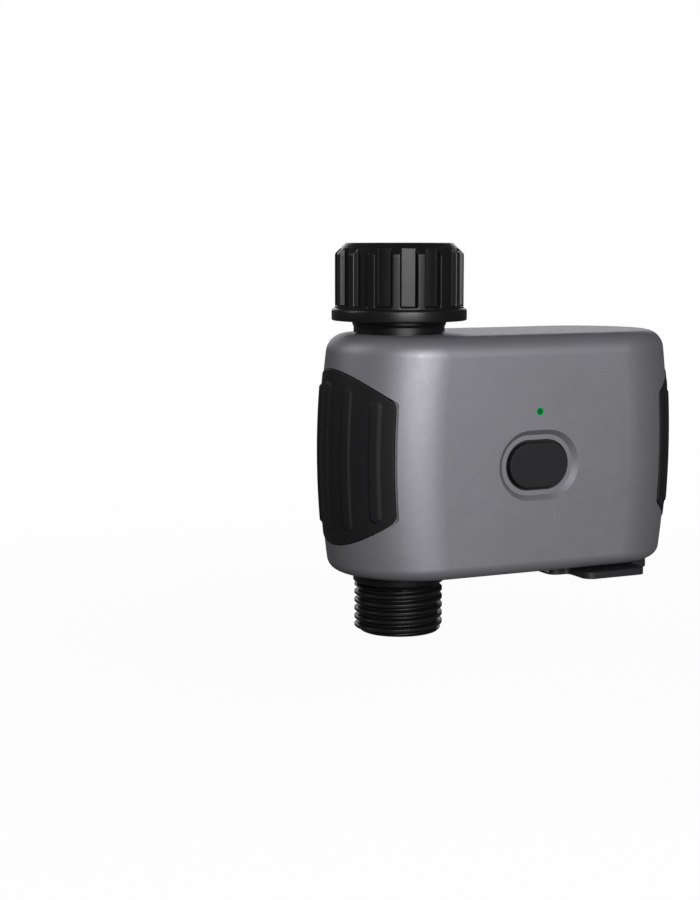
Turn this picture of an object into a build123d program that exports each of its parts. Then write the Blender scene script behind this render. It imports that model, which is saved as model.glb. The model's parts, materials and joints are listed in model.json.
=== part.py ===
from build123d import *
import math
import os

# Smart water valve for a garden tap: a housing that hangs from its inlet nut, with a motorised
# ball valve, a push button and a battery tray that pulls down.
# Frame: millimetres, +Z up, +X along the housing away from the valve, +Y to the back.
# The origin is on the valve's axis, on the inlet washer's sealing face.

# Housing
HOUSING_LENGTH = 114.0
HOUSING_DEPTH = 50.6
HOUSING_HEIGHT = 70.7
MID_X_SHARE = 0.29474
HOUSING_TOP_Z = -12.3
END_BOW = 2.8
WALL = 2.2
TOP_ROUND = 6.0
BOTTOM_ROUND = 3.8
SEAM_Y = 14.0
SEAM_GROOVE = 0.4

# Side grips
GRIP_HALF_WIDTH = 21.4
GRIP_HALF_HEIGHT = 25.8
GRIP_EDGE_HALF_HEIGHT = 16.9
GRIP_DROP = 0.4
GRIP_CORNER_ROUND = 2.0
GRIP_DEPTH = 1.2
GRIP_PROUD = 0.3
GRIP_SEAM = 0.25
GRIP_RAIL_RAISE = 0.7
GRIP_RAIL_WIDTH = 3.7
GRIP_RAIL_PITCH = 9.6
GRIP_RAIL_LENGTHS = (44.6, 41.8, 35.4)

# Swivel nut
NUT_FLANGE_RADIUS = 20.0
NUT_FLANGE_HEIGHT = 3.7
NUT_FLANGE_BEVEL = 0.9
NUT_RADIUS = 19.0
NUT_HEIGHT = 22.7
NUT_CROWN_RADIUS = 15.8
NUT_RIBS = 16
NUT_TURN = -6.5
NUT_RIB_DEPTH = 1.6
NUT_RIB_FACE = 2.6
NUT_VALLEY_FLOOR = 2.6
NUT_LEDGE = 0.75
NUT_LIP = 3.0
NUT_PLAY = 0.2
INLET_THREAD_RADIUS = 12.06
NUT_MOUTH_BEVEL = 1.2

# Inlet parts
TAIL_RADIUS = 10.5
TAIL_FLANGE_RADIUS = 11.8
TAIL_FLANGE_HEIGHT = 2.6
TAIL_END_Z = -30.0
WATERWAY_RADIUS = 8.0
WASHER_HEIGHT = 2.6
WASHER_RADIUS = 11.9
WASHER_BORE_RADIUS = 9.2
COLLAR_RADIUS = 13.5
COLLAR_FLARE = 0.4
COLLAR_FLARE_HEIGHT = 0.8
COLLAR_UNDERCUT = 0.5
SCREEN_WALL = 0.7
SCREEN_DEPTH = 13.0
SCREEN_SLOTS = 10
SCREEN_SLOT_WIDTH = 1.8

# Outlet spigot
OUTLET_THREAD_RADIUS = 13.22
OUTLET_ROOT_RADIUS = 12.0
OUTLET_END_Z = -101.4
OUTLET_THREAD_LENGTH = 13.4
OUTLET_BEVEL = 1.2
OUTLET_COLLAR_RADIUS = 13.6
OUTLET_COLLAR_DROP = 3.4
OUTLET_BORE_RADIUS = 8.0

# Valve
BALL_Z = -48.0
BALL_RADIUS = 11.5
BALL_BORE_RADIUS = 7.5
VALVE_BORE_RADIUS = 12.0
VALVE_BALL_WALL = 3.0
VALVE_PORT_WALL = 1.7
VALVE_WAIST = 14.5
VALVE_FLANGE_HEIGHT = 2.4
VALVE_FLANGE_WALL = 3.6
SEAT_INNER_RADIUS = 8.2
SEAT_LOW = 5.2
SEAT_HIGH = 10.2
STEM_RADIUS = 3.5
STEM_BOSS_RADIUS = 6.5
STEM_SQUARE = 3.6
STEM_TANG = 4.0
STEM_TANG_DEPTH = 2.6
O_RING_THICKNESS = 1.6
STEM_RING_THICKNESS = 0.9

# Gear train, all axes along X
GEAR_MODULE = 0.5
PRESSURE_ANGLE = 25.0
PINION_TEETH = 10
WHEEL_TEETH = 30
OUTPUT_TEETH = 36
TOOTH_ADDENDUM_SHARE = 0.8
TOOTH_DEDENDUM_SHARE = 1.05
BACKLASH = 0.1
GEAR_WIDTH = 1.8
OUTPUT_WIDTH = 3.0
LAYER_GAP = 0.5
SECOND_GEAR_OFFSET_Y = 4.0
PIN_RADIUS = 0.8
HUB_RADIUS = 1.6
CASE_X = 17.5
CASE_WALL = 1.4
CASE_HALF_DEPTH = 14.0
CASE_TOP_MARGIN = 2.2
CASE_ROUND = 2.0
LID_HEIGHT = 1.4
MOTOR_RADIUS = 6.0
MOTOR_END_GAP = 1.05
MOTOR_FLAT = 10.0
MOTOR_SHAFT_RADIUS = 0.75

# Button and light
BUTTON_Z = -50.6
BUTTON_LENGTH = 19.4
BUTTON_HEIGHT = 13.3
BUTTON_GAP = 0.85
BUTTON_TRAVEL = 0.8
BUTTON_FLANGE = 2.85
BUTTON_FLANGE_HEIGHT = 1.0
BUTTON_SINK = 0.1
BUTTON_EDGE = 0.4
DISH_MARGIN = 3.75
DISH_RIM = 1.5
DISH_DEPTH = 1.3
SEAL_WIDTH = 1.8
LIGHT_Z = -34.7
LIGHT_RADIUS = 1.25
LIGHT_FLANGE_RADIUS = 2.2
LIGHT_FLANGE_HEIGHT = 1.0

# Circuit board
BOARD_STAND = 3.9
BOARD_THICKNESS = 1.6
BOARD_VALVE_GAP = 0.9
BOARD_WELL_GAP = 0.25
BOARD_TOP_Z = -21.0
BOARD_BOTTOM_Z = -74.0
BOARD_ROUND = 2.0
BOARD_SCREW_INSET = 3.2
BOARD_SCREW_RADIUS = 0.9
BOARD_POST_RADIUS = 2.6
SWITCH_SIZE = 6.0
SWITCH_HEIGHT = 1.9
SWITCH_KNOB_RADIUS = 1.7
LIGHT_CHIP = 1.6
LIGHT_CHIP_HEIGHT = 0.8
RADIO_GAP = 1.0
RADIO_HEIGHT = 10.2
RADIO_BOARD = 0.8
RADIO_SHIELD = 1.8
RADIO_Z = -68.2

# Battery tray
CELL_RADIUS = 7.1
CELL_LENGTH = 50.5
CELL_NUB_RADIUS = 2.7
CELL_NUB_HEIGHT = 1.2
CELL_SPACE = 15.0
TRAY_END_GAP = 13.05
TRAY_WALL = 0.9
TRAY_FLOOR = 1.2
TRAY_CLEARANCE = 0.35
WELL_WALL = 1.1
CONTACT_THICKNESS = 0.4
CONTACT_WIDTH = 7.0
WINDOW_LENGTH = 9.0
WINDOW_WIDTH = 5.0
BLADE_WIDTH = 4.0
COVER_THICKNESS = 2.0
COVER_DROP = 2.9
COVER_MARGIN = 1.1
COVER_LIP = 1.9
COVER_ROUND = 3.0
COVER_GAP = 0.2
PLUG_HEIGHT = 3.2
GASKET_HEIGHT = 1.6
GASKET_WIDTH = 1.0
TAB_WIDTH = 21.5
TAB_REACH = 27.0
TAB_SHIFT = 0.2
TAB_FILLET = 1.5
RAMP_WIDTH = 4.0

# Fasteners and fits
COVER_SCREW_INSET = 10.1
COVER_SCREW_SPAN = 50.0
COVER_SCREW_RADIUS = 1.0
COVER_SCREW_HEAD_RADIUS = 2.0
COVER_SCREW_HEAD = 1.6
COVER_SCREW_SEAT = 1.6
SCREW_BOSS_RADIUS = 2.8
SCREW_BOSS_LENGTH = 5.6
CASE_SCREW_RADIUS = 0.9
CASE_SCREW_HEAD_RADIUS = 1.8
CASE_SCREW_HEAD = 1.0
CASE_SCREW_LENGTH = 6.0
CASE_SCREW_INSET = 2.2
HEX_KEY_SHARE = 0.5
CRADLE_THICKNESS = 1.6
SHELL_GASKET_WIDTH = 0.8
SHELL_GASKET_HEIGHT = 0.8
RUNNING_FIT = 0.05
SLIDING_FIT = 0.1
LOOSE_FIT = 0.3
OVERRUN = 1.0

# Places worked out from the sizes above
HOUSING_MID_X = MID_X_SHARE * HOUSING_LENGTH
HOUSING_RIGHT_X = HOUSING_MID_X + HOUSING_LENGTH / 2
COVER_SCREW_REACH = HOUSING_LENGTH / 2 - COVER_SCREW_INSET
BUTTON_X = HOUSING_MID_X
HOUSING_BOTTOM_Z = HOUSING_TOP_Z - HOUSING_HEIGHT
HOUSING_MID_Z = HOUSING_TOP_Z - HOUSING_HEIGHT / 2
FRONT_Y = -HOUSING_DEPTH / 2
INNER_FRONT_Y = FRONT_Y + WALL
INNER_TOP_Z = HOUSING_TOP_Z - WALL
INNER_BOTTOM_Z = HOUSING_BOTTOM_Z + WALL
END_CENTRE = (HOUSING_LENGTH - HOUSING_DEPTH) / 2
BOARD_Y = INNER_FRONT_Y + BOARD_STAND
NUT_BOTTOM_Z = -WASHER_HEIGHT - TAIL_FLANGE_HEIGHT - NUT_PLAY - NUT_LIP
NUT_TOP_Z = NUT_BOTTOM_Z + NUT_HEIGHT
VALLEY_RADIUS = NUT_RADIUS - NUT_RIB_DEPTH
STUB_RADIUS = TAIL_RADIUS + WALL / 2 + RUNNING_FIT
COLLAR_TOP_Z = NUT_BOTTOM_Z - NUT_PLAY
CASE_FLOOR_X = CASE_X + CASE_WALL
OUTPUT_X = CASE_FLOOR_X + LAYER_GAP
SECOND_X = OUTPUT_X + OUTPUT_WIDTH + LAYER_GAP
FIRST_X = SECOND_X + GEAR_WIDTH + LAYER_GAP
LID_X = FIRST_X + GEAR_WIDTH + 2 * LAYER_GAP
MOTOR_X = LID_X + LID_HEIGHT
FINAL_CENTRES = GEAR_MODULE * (OUTPUT_TEETH + PINION_TEETH) / 2
STAGE_CENTRES = GEAR_MODULE * (WHEEL_TEETH + PINION_TEETH) / 2
TRAY_SIZE = 2 * CELL_SPACE + 2 * TRAY_WALL
TRAY_WEB = CELL_SPACE - 2 * CELL_RADIUS - 2 * RUNNING_FIT
WELL_INNER = TRAY_SIZE + 2 * TRAY_CLEARANCE
WELL_OUTER = WELL_INNER + 2 * WELL_WALL
TRAY_X = HOUSING_RIGHT_X - TRAY_END_GAP - WELL_OUTER / 2
MOTOR_LENGTH = TRAY_X - WELL_OUTER / 2 - MOTOR_END_GAP - MOTOR_X
BOARD_LEFT_X = VALVE_BORE_RADIUS + VALVE_PORT_WALL + BOARD_VALVE_GAP
BOARD_RIGHT_X = TRAY_X - WELL_OUTER / 2 - BOARD_WELL_GAP
RADIO_X = (BOARD_LEFT_X + BOARD_RIGHT_X) / 2
RADIO_WIDTH = BOARD_RIGHT_X - BOARD_LEFT_X - 2 * (BOARD_SCREW_INSET + BOARD_POST_RADIUS + RADIO_GAP)
COVER_BOTTOM_Z = HOUSING_BOTTOM_Z - COVER_DROP
PLUG_BOTTOM_Z = HOUSING_BOTTOM_Z - COVER_GAP
TRAY_BOTTOM_Z = PLUG_BOTTOM_Z + PLUG_HEIGHT
CELL_BOTTOM_Z = TRAY_BOTTOM_Z + TRAY_FLOOR + CONTACT_THICKNESS
CELL_TOP_Z = CELL_BOTTOM_Z + CELL_LENGTH
TRAY_TOP_Z = CELL_TOP_Z + CONTACT_THICKNESS + TRAY_FLOOR
WELL_TOP_Z = TRAY_TOP_Z + TRAY_CLEARANCE + WELL_WALL
BUTTON_FACE_Y = FRONT_Y + BUTTON_SINK

FOOT = (Align.CENTER, Align.CENTER, Align.MIN)
CORNER = (Align.MIN, Align.MIN, Align.MIN)


def rod_z(radius, low, high, x=0.0, y=0.0):
    """Upright cylinder between two heights."""
    return Pos(x, y, low) * Cylinder(radius, high - low, align=FOOT)


def rod_x(radius, low, high, y, z):
    """Cylinder along X."""
    return Pos(low, y, z) * Rot(0, 90, 0) * Cylinder(radius, high - low, align=FOOT)


def rod_y(radius, low, high, x, z):
    """Cylinder along Y."""
    return Pos(x, low, z) * Rot(-90, 0, 0) * Cylinder(radius, high - low, align=FOOT)


def block(x_span, y_span, z_span):
    """Box between three pairs of limits."""
    size = [span[1] - span[0] for span in (x_span, y_span, z_span)]
    return Pos(x_span[0], y_span[0], z_span[0]) * Box(*size, align=CORNER)


def square_post(width, depth, z_span, x=0.0, y=0.0, corner=0.0):
    """Upright post of rectangular section, its corners rounded where asked."""
    outline = RectangleRounded(width, depth, corner) if corner else Rectangle(width, depth)
    return extrude(Pos(x, y, z_span[0]) * outline, z_span[1] - z_span[0])


def plate_y(outline, low, high):
    """Outline drawn in X and Z, carried along Y."""
    plane = Plane(origin=(0, high, 0), x_dir=(1, 0, 0), z_dir=(0, -1, 0))
    return extrude(plane * outline, high - low)


def plate_x(outline, low, high):
    """Outline drawn in Y and Z, carried along X."""
    plane = Plane(origin=(low, 0, 0), x_dir=(0, 1, 0), z_dir=(1, 0, 0))
    return extrude(plane * outline, high - low)


def turned(points):
    """Solid turned about the valve's axis from a radius and height profile."""
    return revolve(Plane.XZ * make_face(Polyline(*points, close=True)), Axis.Z)


def torus_z(outer, thickness, z):
    """O-ring about the valve's axis."""
    return Pos(0, 0, z) * Torus(outer - thickness / 2, thickness / 2)


def housing_form(grow):
    """Housing with half-round ends that bow outwards at mid height, its edges left sharp."""
    half_height = HOUSING_HEIGHT / 2 + grow
    sections = []
    for height_share in (-1.0, -0.5, 0.0, 0.5, 1.0):
        z = HOUSING_MID_Z + height_share * half_height
        length = HOUSING_LENGTH + 2 * grow - 2 * END_BOW * height_share**2
        outline = SlotOverall(length, HOUSING_DEPTH + 2 * grow)
        sections.append(Pos(HOUSING_MID_X, 0, z) * outline)
    return loft(sections)


def rounded_housing(grow):
    """Outer form of both shells, with its top and bottom edges rounded."""
    form = housing_form(grow)
    form = fillet(form.faces().sort_by(Axis.Z)[-1].edges(), TOP_ROUND + grow)
    return fillet(form.faces().sort_by(Axis.Z)[0].edges(), BOTTOM_ROUND + grow)


def grip_outline(grow):
    """Grip outline in Y and Z: upright sides, a bow at the top and bottom, rounded corners."""
    corner = (GRIP_HALF_WIDTH, GRIP_EDGE_HALF_HEIGHT)
    left = (-corner[0], corner[1])
    bows = [
        ThreePointArc((k * left[0], k * left[1]), (0, k * GRIP_HALF_HEIGHT), (k * corner[0], k * corner[1]))
        for k in (1, -1)
    ]
    sides = [Line((k * corner[0], corner[1]), (k * corner[0], -corner[1])) for k in (1, -1)]
    face = make_face(bows + sides)
    face = fillet(face.vertices(), GRIP_CORNER_ROUND)
    if grow:
        face = offset(face, grow)
    return Pos(0, HOUSING_MID_Z - GRIP_DROP) * face


def grip_prism(side, grow):
    """Grip outline carried in from one end of the housing to the end's centre of curvature."""
    centre = HOUSING_MID_X + side * END_CENTRE
    tip = centre + side * HOUSING_DEPTH
    return plate_x(grip_outline(grow), min(centre, tip), max(centre, tip))


def grip_rails(side):
    """Upright bars with round ends, set about the end's centre of curvature."""
    centre = HOUSING_MID_X + side * END_CENTRE
    rails = []
    for place in (-2, -1, 0, 1, 2):
        turn = place * GRIP_RAIL_PITCH / (HOUSING_DEPTH / 2)
        out = (side * math.cos(turn), math.sin(turn), 0)
        plane = Plane(origin=(centre, 0, HOUSING_MID_Z - GRIP_DROP), x_dir=(0, 0, 1), z_dir=out)
        bar = SlotOverall(GRIP_RAIL_LENGTHS[abs(place)], GRIP_RAIL_WIDTH)
        rails.append(extrude(plane * bar, HOUSING_DEPTH))
    return rails


def make_grip(side, floor):
    """Soft grip that fills its recess, stands a little proud and carries five rails."""
    prism = grip_prism(side, 0.0)
    grip = housing_form(GRIP_PROUD) & prism
    crest = housing_form(GRIP_PROUD + GRIP_RAIL_RAISE)
    for rail in grip_rails(side):
        grip += crest & rail
    return grip - floor


def screw_places():
    """Places of the four cover screws in X and Z."""
    return [
        (HOUSING_MID_X + i * COVER_SCREW_REACH, HOUSING_MID_Z + k * COVER_SCREW_SPAN / 2)
        for i in (-1, 1)
        for k in (-1, 1)
    ]


def board_screw_places():
    """Places of the circuit board's four screws in X and Z."""
    inset = BOARD_SCREW_INSET
    return [
        (x, z)
        for x in (BOARD_LEFT_X + inset, BOARD_RIGHT_X - inset)
        for z in (BOARD_BOTTOM_Z + inset, BOARD_TOP_Z - inset)
    ]


def button_oval(grow):
    """Button outline, grown evenly."""
    return Pos(BUTTON_X, BUTTON_Z) * SlotOverall(BUTTON_LENGTH + 2 * grow, BUTTON_HEIGHT + 2 * grow)


def dish():
    """Dished oval round the button: a sloping edge down to a flat floor."""
    face = button_oval(DISH_MARGIN)
    floor = button_oval(DISH_MARGIN - DISH_RIM)
    outer = Plane(origin=(0, FRONT_Y, 0), x_dir=(1, 0, 0), z_dir=(0, -1, 0)) * face
    inner = Plane(origin=(0, FRONT_Y + DISH_DEPTH, 0), x_dir=(1, 0, 0), z_dir=(0, -1, 0)) * floor
    return loft([inner, outer]) + plate_y(face, FRONT_Y - OVERRUN, FRONT_Y)


def well_opening():
    """Space that the battery well needs in the floor and in the seam."""
    size = WELL_OUTER + 2 * SLIDING_FIT
    return square_post(size, size, (HOUSING_BOTTOM_Z - OVERRUN, INNER_BOTTOM_Z + OVERRUN), TRAY_X)


def shell_blank(form, floors):
    """Hollow housing with its openings for the neck, outlet and well, and both grip recesses."""
    blank = form - housing_form(-WALL)
    for side, floor in floors.items():
        blank -= grip_prism(side, GRIP_SEAM) - floor
    blank -= rod_z(STUB_RADIUS + LOOSE_FIT, INNER_TOP_Z - OVERRUN, HOUSING_TOP_Z + OVERRUN)
    outlet = rod_z(OUTLET_COLLAR_RADIUS + LOOSE_FIT, HOUSING_BOTTOM_Z - OVERRUN, INNER_BOTTOM_Z + OVERRUN)
    return blank - outlet - well_opening()


def slice_y(y_span):
    """Everything between two planes across the housing's depth."""
    x_span = (HOUSING_MID_X - HOUSING_LENGTH, HOUSING_MID_X + HOUSING_LENGTH)
    z_span = (HOUSING_BOTTOM_Z - HOUSING_HEIGHT, HOUSING_TOP_Z + HOUSING_HEIGHT)
    return block(x_span, y_span, z_span)


def front_half():
    """Everything in front of the seam."""
    return slice_y((-HOUSING_DEPTH, SEAM_Y))


def cradle():
    """Two ribs on the front wall that carry the valve body's ports."""
    ribs = []
    for z, radius in cradle_places():
        y_span = (INNER_FRONT_Y - WALL / 2, 0)
        x_span = (-radius + WALL, radius - WALL)
        rib = block(x_span, y_span, (z - CRADLE_THICKNESS / 2, z + CRADLE_THICKNESS / 2))
        rib &= housing_form(-WALL / 2)
        ribs.append(rib - rod_z(radius + RUNNING_FIT, z - WALL, z + WALL))
    return ribs


def cradle_places():
    """Height of each cradle rib and the radius of the port that lies in it."""
    upper = (BALL_Z + VALVE_WAIST + INNER_TOP_Z) / 2
    lower = (BALL_Z - VALVE_WAIST + INNER_BOTTOM_Z) / 2
    radius = VALVE_BORE_RADIUS + VALVE_PORT_WALL
    return [(upper, radius), (lower, radius)]


def ramp():
    """Wedge under the floor that guards the left edge of the battery cover."""
    edge = TRAY_X - WELL_OUTER / 2 - COVER_MARGIN / 2
    drop = COVER_DROP - COVER_THICKNESS / 2
    points = [
        (edge - RAMP_WIDTH, HOUSING_BOTTOM_Z),
        (edge, HOUSING_BOTTOM_Z - drop),
        (edge, HOUSING_BOTTOM_Z),
    ]
    outline = make_face(Polyline(*points, close=True))
    return plate_y(outline, -WELL_OUTER / 2, SEAM_Y)


def make_front_shell(blank):
    """Deep front shell with its bosses, board posts, cradle, dish and holes."""
    shell = blank & front_half()
    for x, z in screw_places():
        shell += rod_y(SCREW_BOSS_RADIUS, SEAM_Y - SCREW_BOSS_LENGTH, SEAM_Y, x, z) & housing_form(-WALL / 2)
    for x, z in screw_places():
        shell -= rod_y(COVER_SCREW_RADIUS, SEAM_Y - SCREW_BOSS_LENGTH + OVERRUN, SEAM_Y + OVERRUN, x, z)
    for x, z in board_screw_places():
        shell += rod_y(BOARD_POST_RADIUS, INNER_FRONT_Y - WALL / 2, BOARD_Y, x, z)
        shell -= rod_y(BOARD_SCREW_RADIUS, INNER_FRONT_Y, BOARD_Y + OVERRUN, x, z)
    for rib in cradle():
        shell += rib
    shell += ramp()
    shell -= dish()
    shell -= plate_y(button_oval(BUTTON_GAP), FRONT_Y - OVERRUN, INNER_FRONT_Y + OVERRUN)
    return shell - rod_y(LIGHT_RADIUS, FRONT_Y - OVERRUN, INNER_FRONT_Y + OVERRUN, BUTTON_X, LIGHT_Z)


def seam_groove(form):
    """Fine step round the seam, on the rear cover's side."""
    return (form & slice_y((SEAM_Y, SEAM_Y + SEAM_GROOVE))) - rounded_housing(-SEAM_GROOVE)


def make_rear_cover(blank, form, gasket):
    """Shallow rear cover with four screw pillars and their sunk heads."""
    cover = blank - front_half() - seam_groove(form)
    behind = form - front_half()
    for x, z in screw_places():
        cover += rod_y(SCREW_BOSS_RADIUS, SEAM_Y, HOUSING_DEPTH, x, z) & behind
    for x, z in screw_places():
        cover -= rod_y(COVER_SCREW_RADIUS + SLIDING_FIT, SEAM_Y - OVERRUN, HOUSING_DEPTH, x, z)
        head = COVER_SCREW_HEAD_RADIUS + SLIDING_FIT
        cover -= rod_y(head, SEAM_Y + COVER_SCREW_SEAT, HOUSING_DEPTH, x, z)
    return cover - gasket


def make_shell_gasket():
    """Cord of soft rubber in a groove round the seam, open where the well passes."""
    inset = (WALL - SHELL_GASKET_WIDTH) / 2 + GRIP_DEPTH / 2
    ring = rounded_housing(-inset) - rounded_housing(-inset - SHELL_GASKET_WIDTH)
    x_span = (HOUSING_MID_X - HOUSING_LENGTH, HOUSING_MID_X + HOUSING_LENGTH)
    z_span = (HOUSING_BOTTOM_Z, HOUSING_TOP_Z)
    return (ring & block(x_span, (SEAM_Y, SEAM_Y + SHELL_GASKET_HEIGHT), z_span)) - well_opening()


def make_cover_screws():
    """Four pan-head screws that hold the rear cover."""
    screws = []
    for x, z in screw_places():
        seat = SEAM_Y + COVER_SCREW_SEAT
        shank = rod_y(COVER_SCREW_RADIUS, SEAM_Y - SCREW_BOSS_LENGTH + OVERRUN + LOOSE_FIT, seat, x, z)
        head = rod_y(COVER_SCREW_HEAD_RADIUS, seat, seat + COVER_SCREW_HEAD, x, z)
        key = Pos(x, z) * RegularPolygon(COVER_SCREW_HEAD_RADIUS * HEX_KEY_SHARE, 6)
        screws.append(shank + head - plate_y(key, seat + COVER_SCREW_HEAD / 2, seat + 2 * COVER_SCREW_HEAD))
    return Compound(children=screws)


def make_swivel_nut():
    """Hand nut: a flanged foot, a bevelled crown and ribs left between sixteen valleys."""
    bevel = NUT_RADIUS - NUT_CROWN_RADIUS
    flange_top = NUT_BOTTOM_Z + NUT_FLANGE_HEIGHT
    lip = TAIL_RADIUS + SLIDING_FIT
    points = [
        (lip, NUT_BOTTOM_Z),
        (NUT_FLANGE_RADIUS - NUT_FLANGE_BEVEL / 2, NUT_BOTTOM_Z),
        (NUT_FLANGE_RADIUS, NUT_BOTTOM_Z + NUT_FLANGE_BEVEL / 2),
        (NUT_FLANGE_RADIUS, flange_top - NUT_FLANGE_BEVEL),
        (NUT_FLANGE_RADIUS - NUT_FLANGE_BEVEL, flange_top),
        (NUT_RADIUS, flange_top),
        (NUT_RADIUS, NUT_TOP_Z - bevel),
        (NUT_CROWN_RADIUS, NUT_TOP_Z),
        (INLET_THREAD_RADIUS + NUT_MOUTH_BEVEL, NUT_TOP_Z),
        (INLET_THREAD_RADIUS, NUT_TOP_Z - NUT_MOUTH_BEVEL),
        (INLET_THREAD_RADIUS, 0.0),
        (INLET_THREAD_RADIUS + LOOSE_FIT, 0.0),
        (INLET_THREAD_RADIUS + LOOSE_FIT, NUT_BOTTOM_Z + NUT_LIP),
        (lip, NUT_BOTTOM_Z + NUT_LIP),
    ]
    nut = turned(points)
    mouth = 2 * math.pi * NUT_RADIUS / NUT_RIBS - NUT_RIB_FACE
    reach = NUT_RADIUS + NUT_RIB_DEPTH
    valley = [
        (VALLEY_RADIUS, -NUT_VALLEY_FLOOR / 2),
        (VALLEY_RADIUS, NUT_VALLEY_FLOOR / 2),
        (NUT_RADIUS, mouth / 2),
        (reach, mouth / 2),
        (reach, -mouth / 2),
        (NUT_RADIUS, -mouth / 2),
    ]
    outline = make_face(Polyline(*valley, close=True))
    cut = extrude(Pos(0, 0, flange_top + NUT_LEDGE) * outline, NUT_HEIGHT)
    for i in range(NUT_RIBS):
        nut -= Rot(0, 0, NUT_TURN + (i + 0.5) * 360 / NUT_RIBS) * cut
    return nut


def make_tailpiece():
    """Flanged tube that the nut turns on, screwed down into the valve body."""
    flange_low = -WASHER_HEIGHT - TAIL_FLANGE_HEIGHT
    tube = rod_z(TAIL_RADIUS, TAIL_END_Z, -WASHER_HEIGHT)
    tube += rod_z(TAIL_FLANGE_RADIUS, flange_low, -WASHER_HEIGHT)
    tube -= rod_z(WATERWAY_RADIUS, TAIL_END_Z - OVERRUN, OVERRUN)
    return tube - ring_groove(TAIL_RADIUS, tail_ring_z())


def tail_ring_z():
    """Height of the O-ring on the tailpiece."""
    return (TAIL_END_Z + INNER_TOP_Z) / 2


def outlet_ring_z():
    """Height of the O-ring on the outlet spigot."""
    return (BALL_Z - SEAT_HIGH + INNER_BOTTOM_Z) / 2


def ring_groove(radius, z):
    """Groove for an O-ring round a spigot."""
    half = O_RING_THICKNESS / 2 + SLIDING_FIT
    floor = radius - O_RING_THICKNESS
    return rod_z(radius + OVERRUN, z - half, z + half) - rod_z(floor, z - half, z + half)


def make_washer():
    """Flat rubber washer under the tap."""
    ring = rod_z(WASHER_RADIUS, -WASHER_HEIGHT, 0)
    return ring - rod_z(WASHER_BORE_RADIUS, -WASHER_HEIGHT - OVERRUN, OVERRUN)


def make_filter_screen():
    """Slotted cup that hangs in the waterway by its rim."""
    radius = WATERWAY_RADIUS - SLIDING_FIT
    floor_z = -SCREEN_DEPTH
    cup = rod_z(radius, floor_z, -WASHER_HEIGHT) - rod_z(radius - SCREEN_WALL, floor_z + SCREEN_WALL, OVERRUN)
    rim = rod_z(WASHER_BORE_RADIUS - SLIDING_FIT, -WASHER_HEIGHT, -WASHER_HEIGHT + SCREEN_WALL)
    cup += rim - rod_z(radius - SCREEN_WALL, -WASHER_HEIGHT - OVERRUN, OVERRUN)
    slot_low = floor_z + 2 * SCREEN_WALL
    slot_high = -WASHER_HEIGHT - 2 * SCREEN_WALL
    half = SCREEN_SLOT_WIDTH / 2
    slot = block((radius / 2, radius + OVERRUN), (-half, half), (slot_low, slot_high))
    for i in range(SCREEN_SLOTS):
        cup -= Rot(0, 0, i * 360 / SCREEN_SLOTS) * slot
    return cup


def make_neck_collar():
    """Clamping collar on the housing, with an undercut foot and a flared rim."""
    points = [
        (STUB_RADIUS + RUNNING_FIT, HOUSING_TOP_Z),
        (COLLAR_RADIUS - COLLAR_UNDERCUT, HOUSING_TOP_Z),
        (COLLAR_RADIUS - COLLAR_UNDERCUT, HOUSING_TOP_Z + COLLAR_UNDERCUT),
        (COLLAR_RADIUS, HOUSING_TOP_Z + COLLAR_UNDERCUT),
        (COLLAR_RADIUS, COLLAR_TOP_Z - 2 * COLLAR_FLARE_HEIGHT),
        (COLLAR_RADIUS + COLLAR_FLARE, COLLAR_TOP_Z - COLLAR_FLARE_HEIGHT),
        (COLLAR_RADIUS + COLLAR_FLARE, COLLAR_TOP_Z),
        (STUB_RADIUS + RUNNING_FIT, COLLAR_TOP_Z),
    ]
    return turned(points)


def make_valve_body():
    """Valve body: a stub through the roof, two ports, a wide waist for the ball and a stem boss."""
    port = VALVE_BORE_RADIUS + VALVE_PORT_WALL
    body = rod_z(STUB_RADIUS, INNER_TOP_Z, COLLAR_TOP_Z)
    body += rod_z(port, INNER_BOTTOM_Z, INNER_TOP_Z)
    body += rod_z(VALVE_BORE_RADIUS + VALVE_BALL_WALL, BALL_Z - VALVE_WAIST, BALL_Z + VALVE_WAIST)
    flange = VALVE_BORE_RADIUS + VALVE_FLANGE_WALL
    body += rod_z(flange, INNER_TOP_Z - VALVE_FLANGE_HEIGHT, INNER_TOP_Z)
    body += rod_z(flange, INNER_BOTTOM_Z, INNER_BOTTOM_Z + VALVE_FLANGE_HEIGHT)
    body += rod_x(STEM_BOSS_RADIUS, BALL_RADIUS, CASE_X, 0, BALL_Z)
    seat_z = BALL_Z + SEAT_HIGH
    body -= rod_z(TAIL_RADIUS + RUNNING_FIT, TAIL_END_Z - LOOSE_FIT, OVERRUN)
    body -= rod_z(WATERWAY_RADIUS, seat_z - OVERRUN, TAIL_END_Z)
    body -= rod_z(VALVE_BORE_RADIUS, INNER_BOTTOM_Z - OVERRUN, seat_z)
    return body - rod_x(STEM_RADIUS + RUNNING_FIT, 0, CASE_X + OVERRUN, 0, BALL_Z)


def make_ball():
    """Bored ball, shut at rest, with a slot for the stem's tang."""
    ball = Pos(0, 0, BALL_Z) * Sphere(BALL_RADIUS)
    ball -= rod_y(BALL_BORE_RADIUS, -BALL_RADIUS, BALL_RADIUS, 0, BALL_Z)
    half = STEM_TANG / 2 + RUNNING_FIT
    depth = BALL_RADIUS - STEM_TANG_DEPTH - RUNNING_FIT
    return ball - block((depth, BALL_RADIUS), (-half, half), (BALL_Z - BALL_RADIUS, BALL_Z + BALL_RADIUS))


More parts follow.
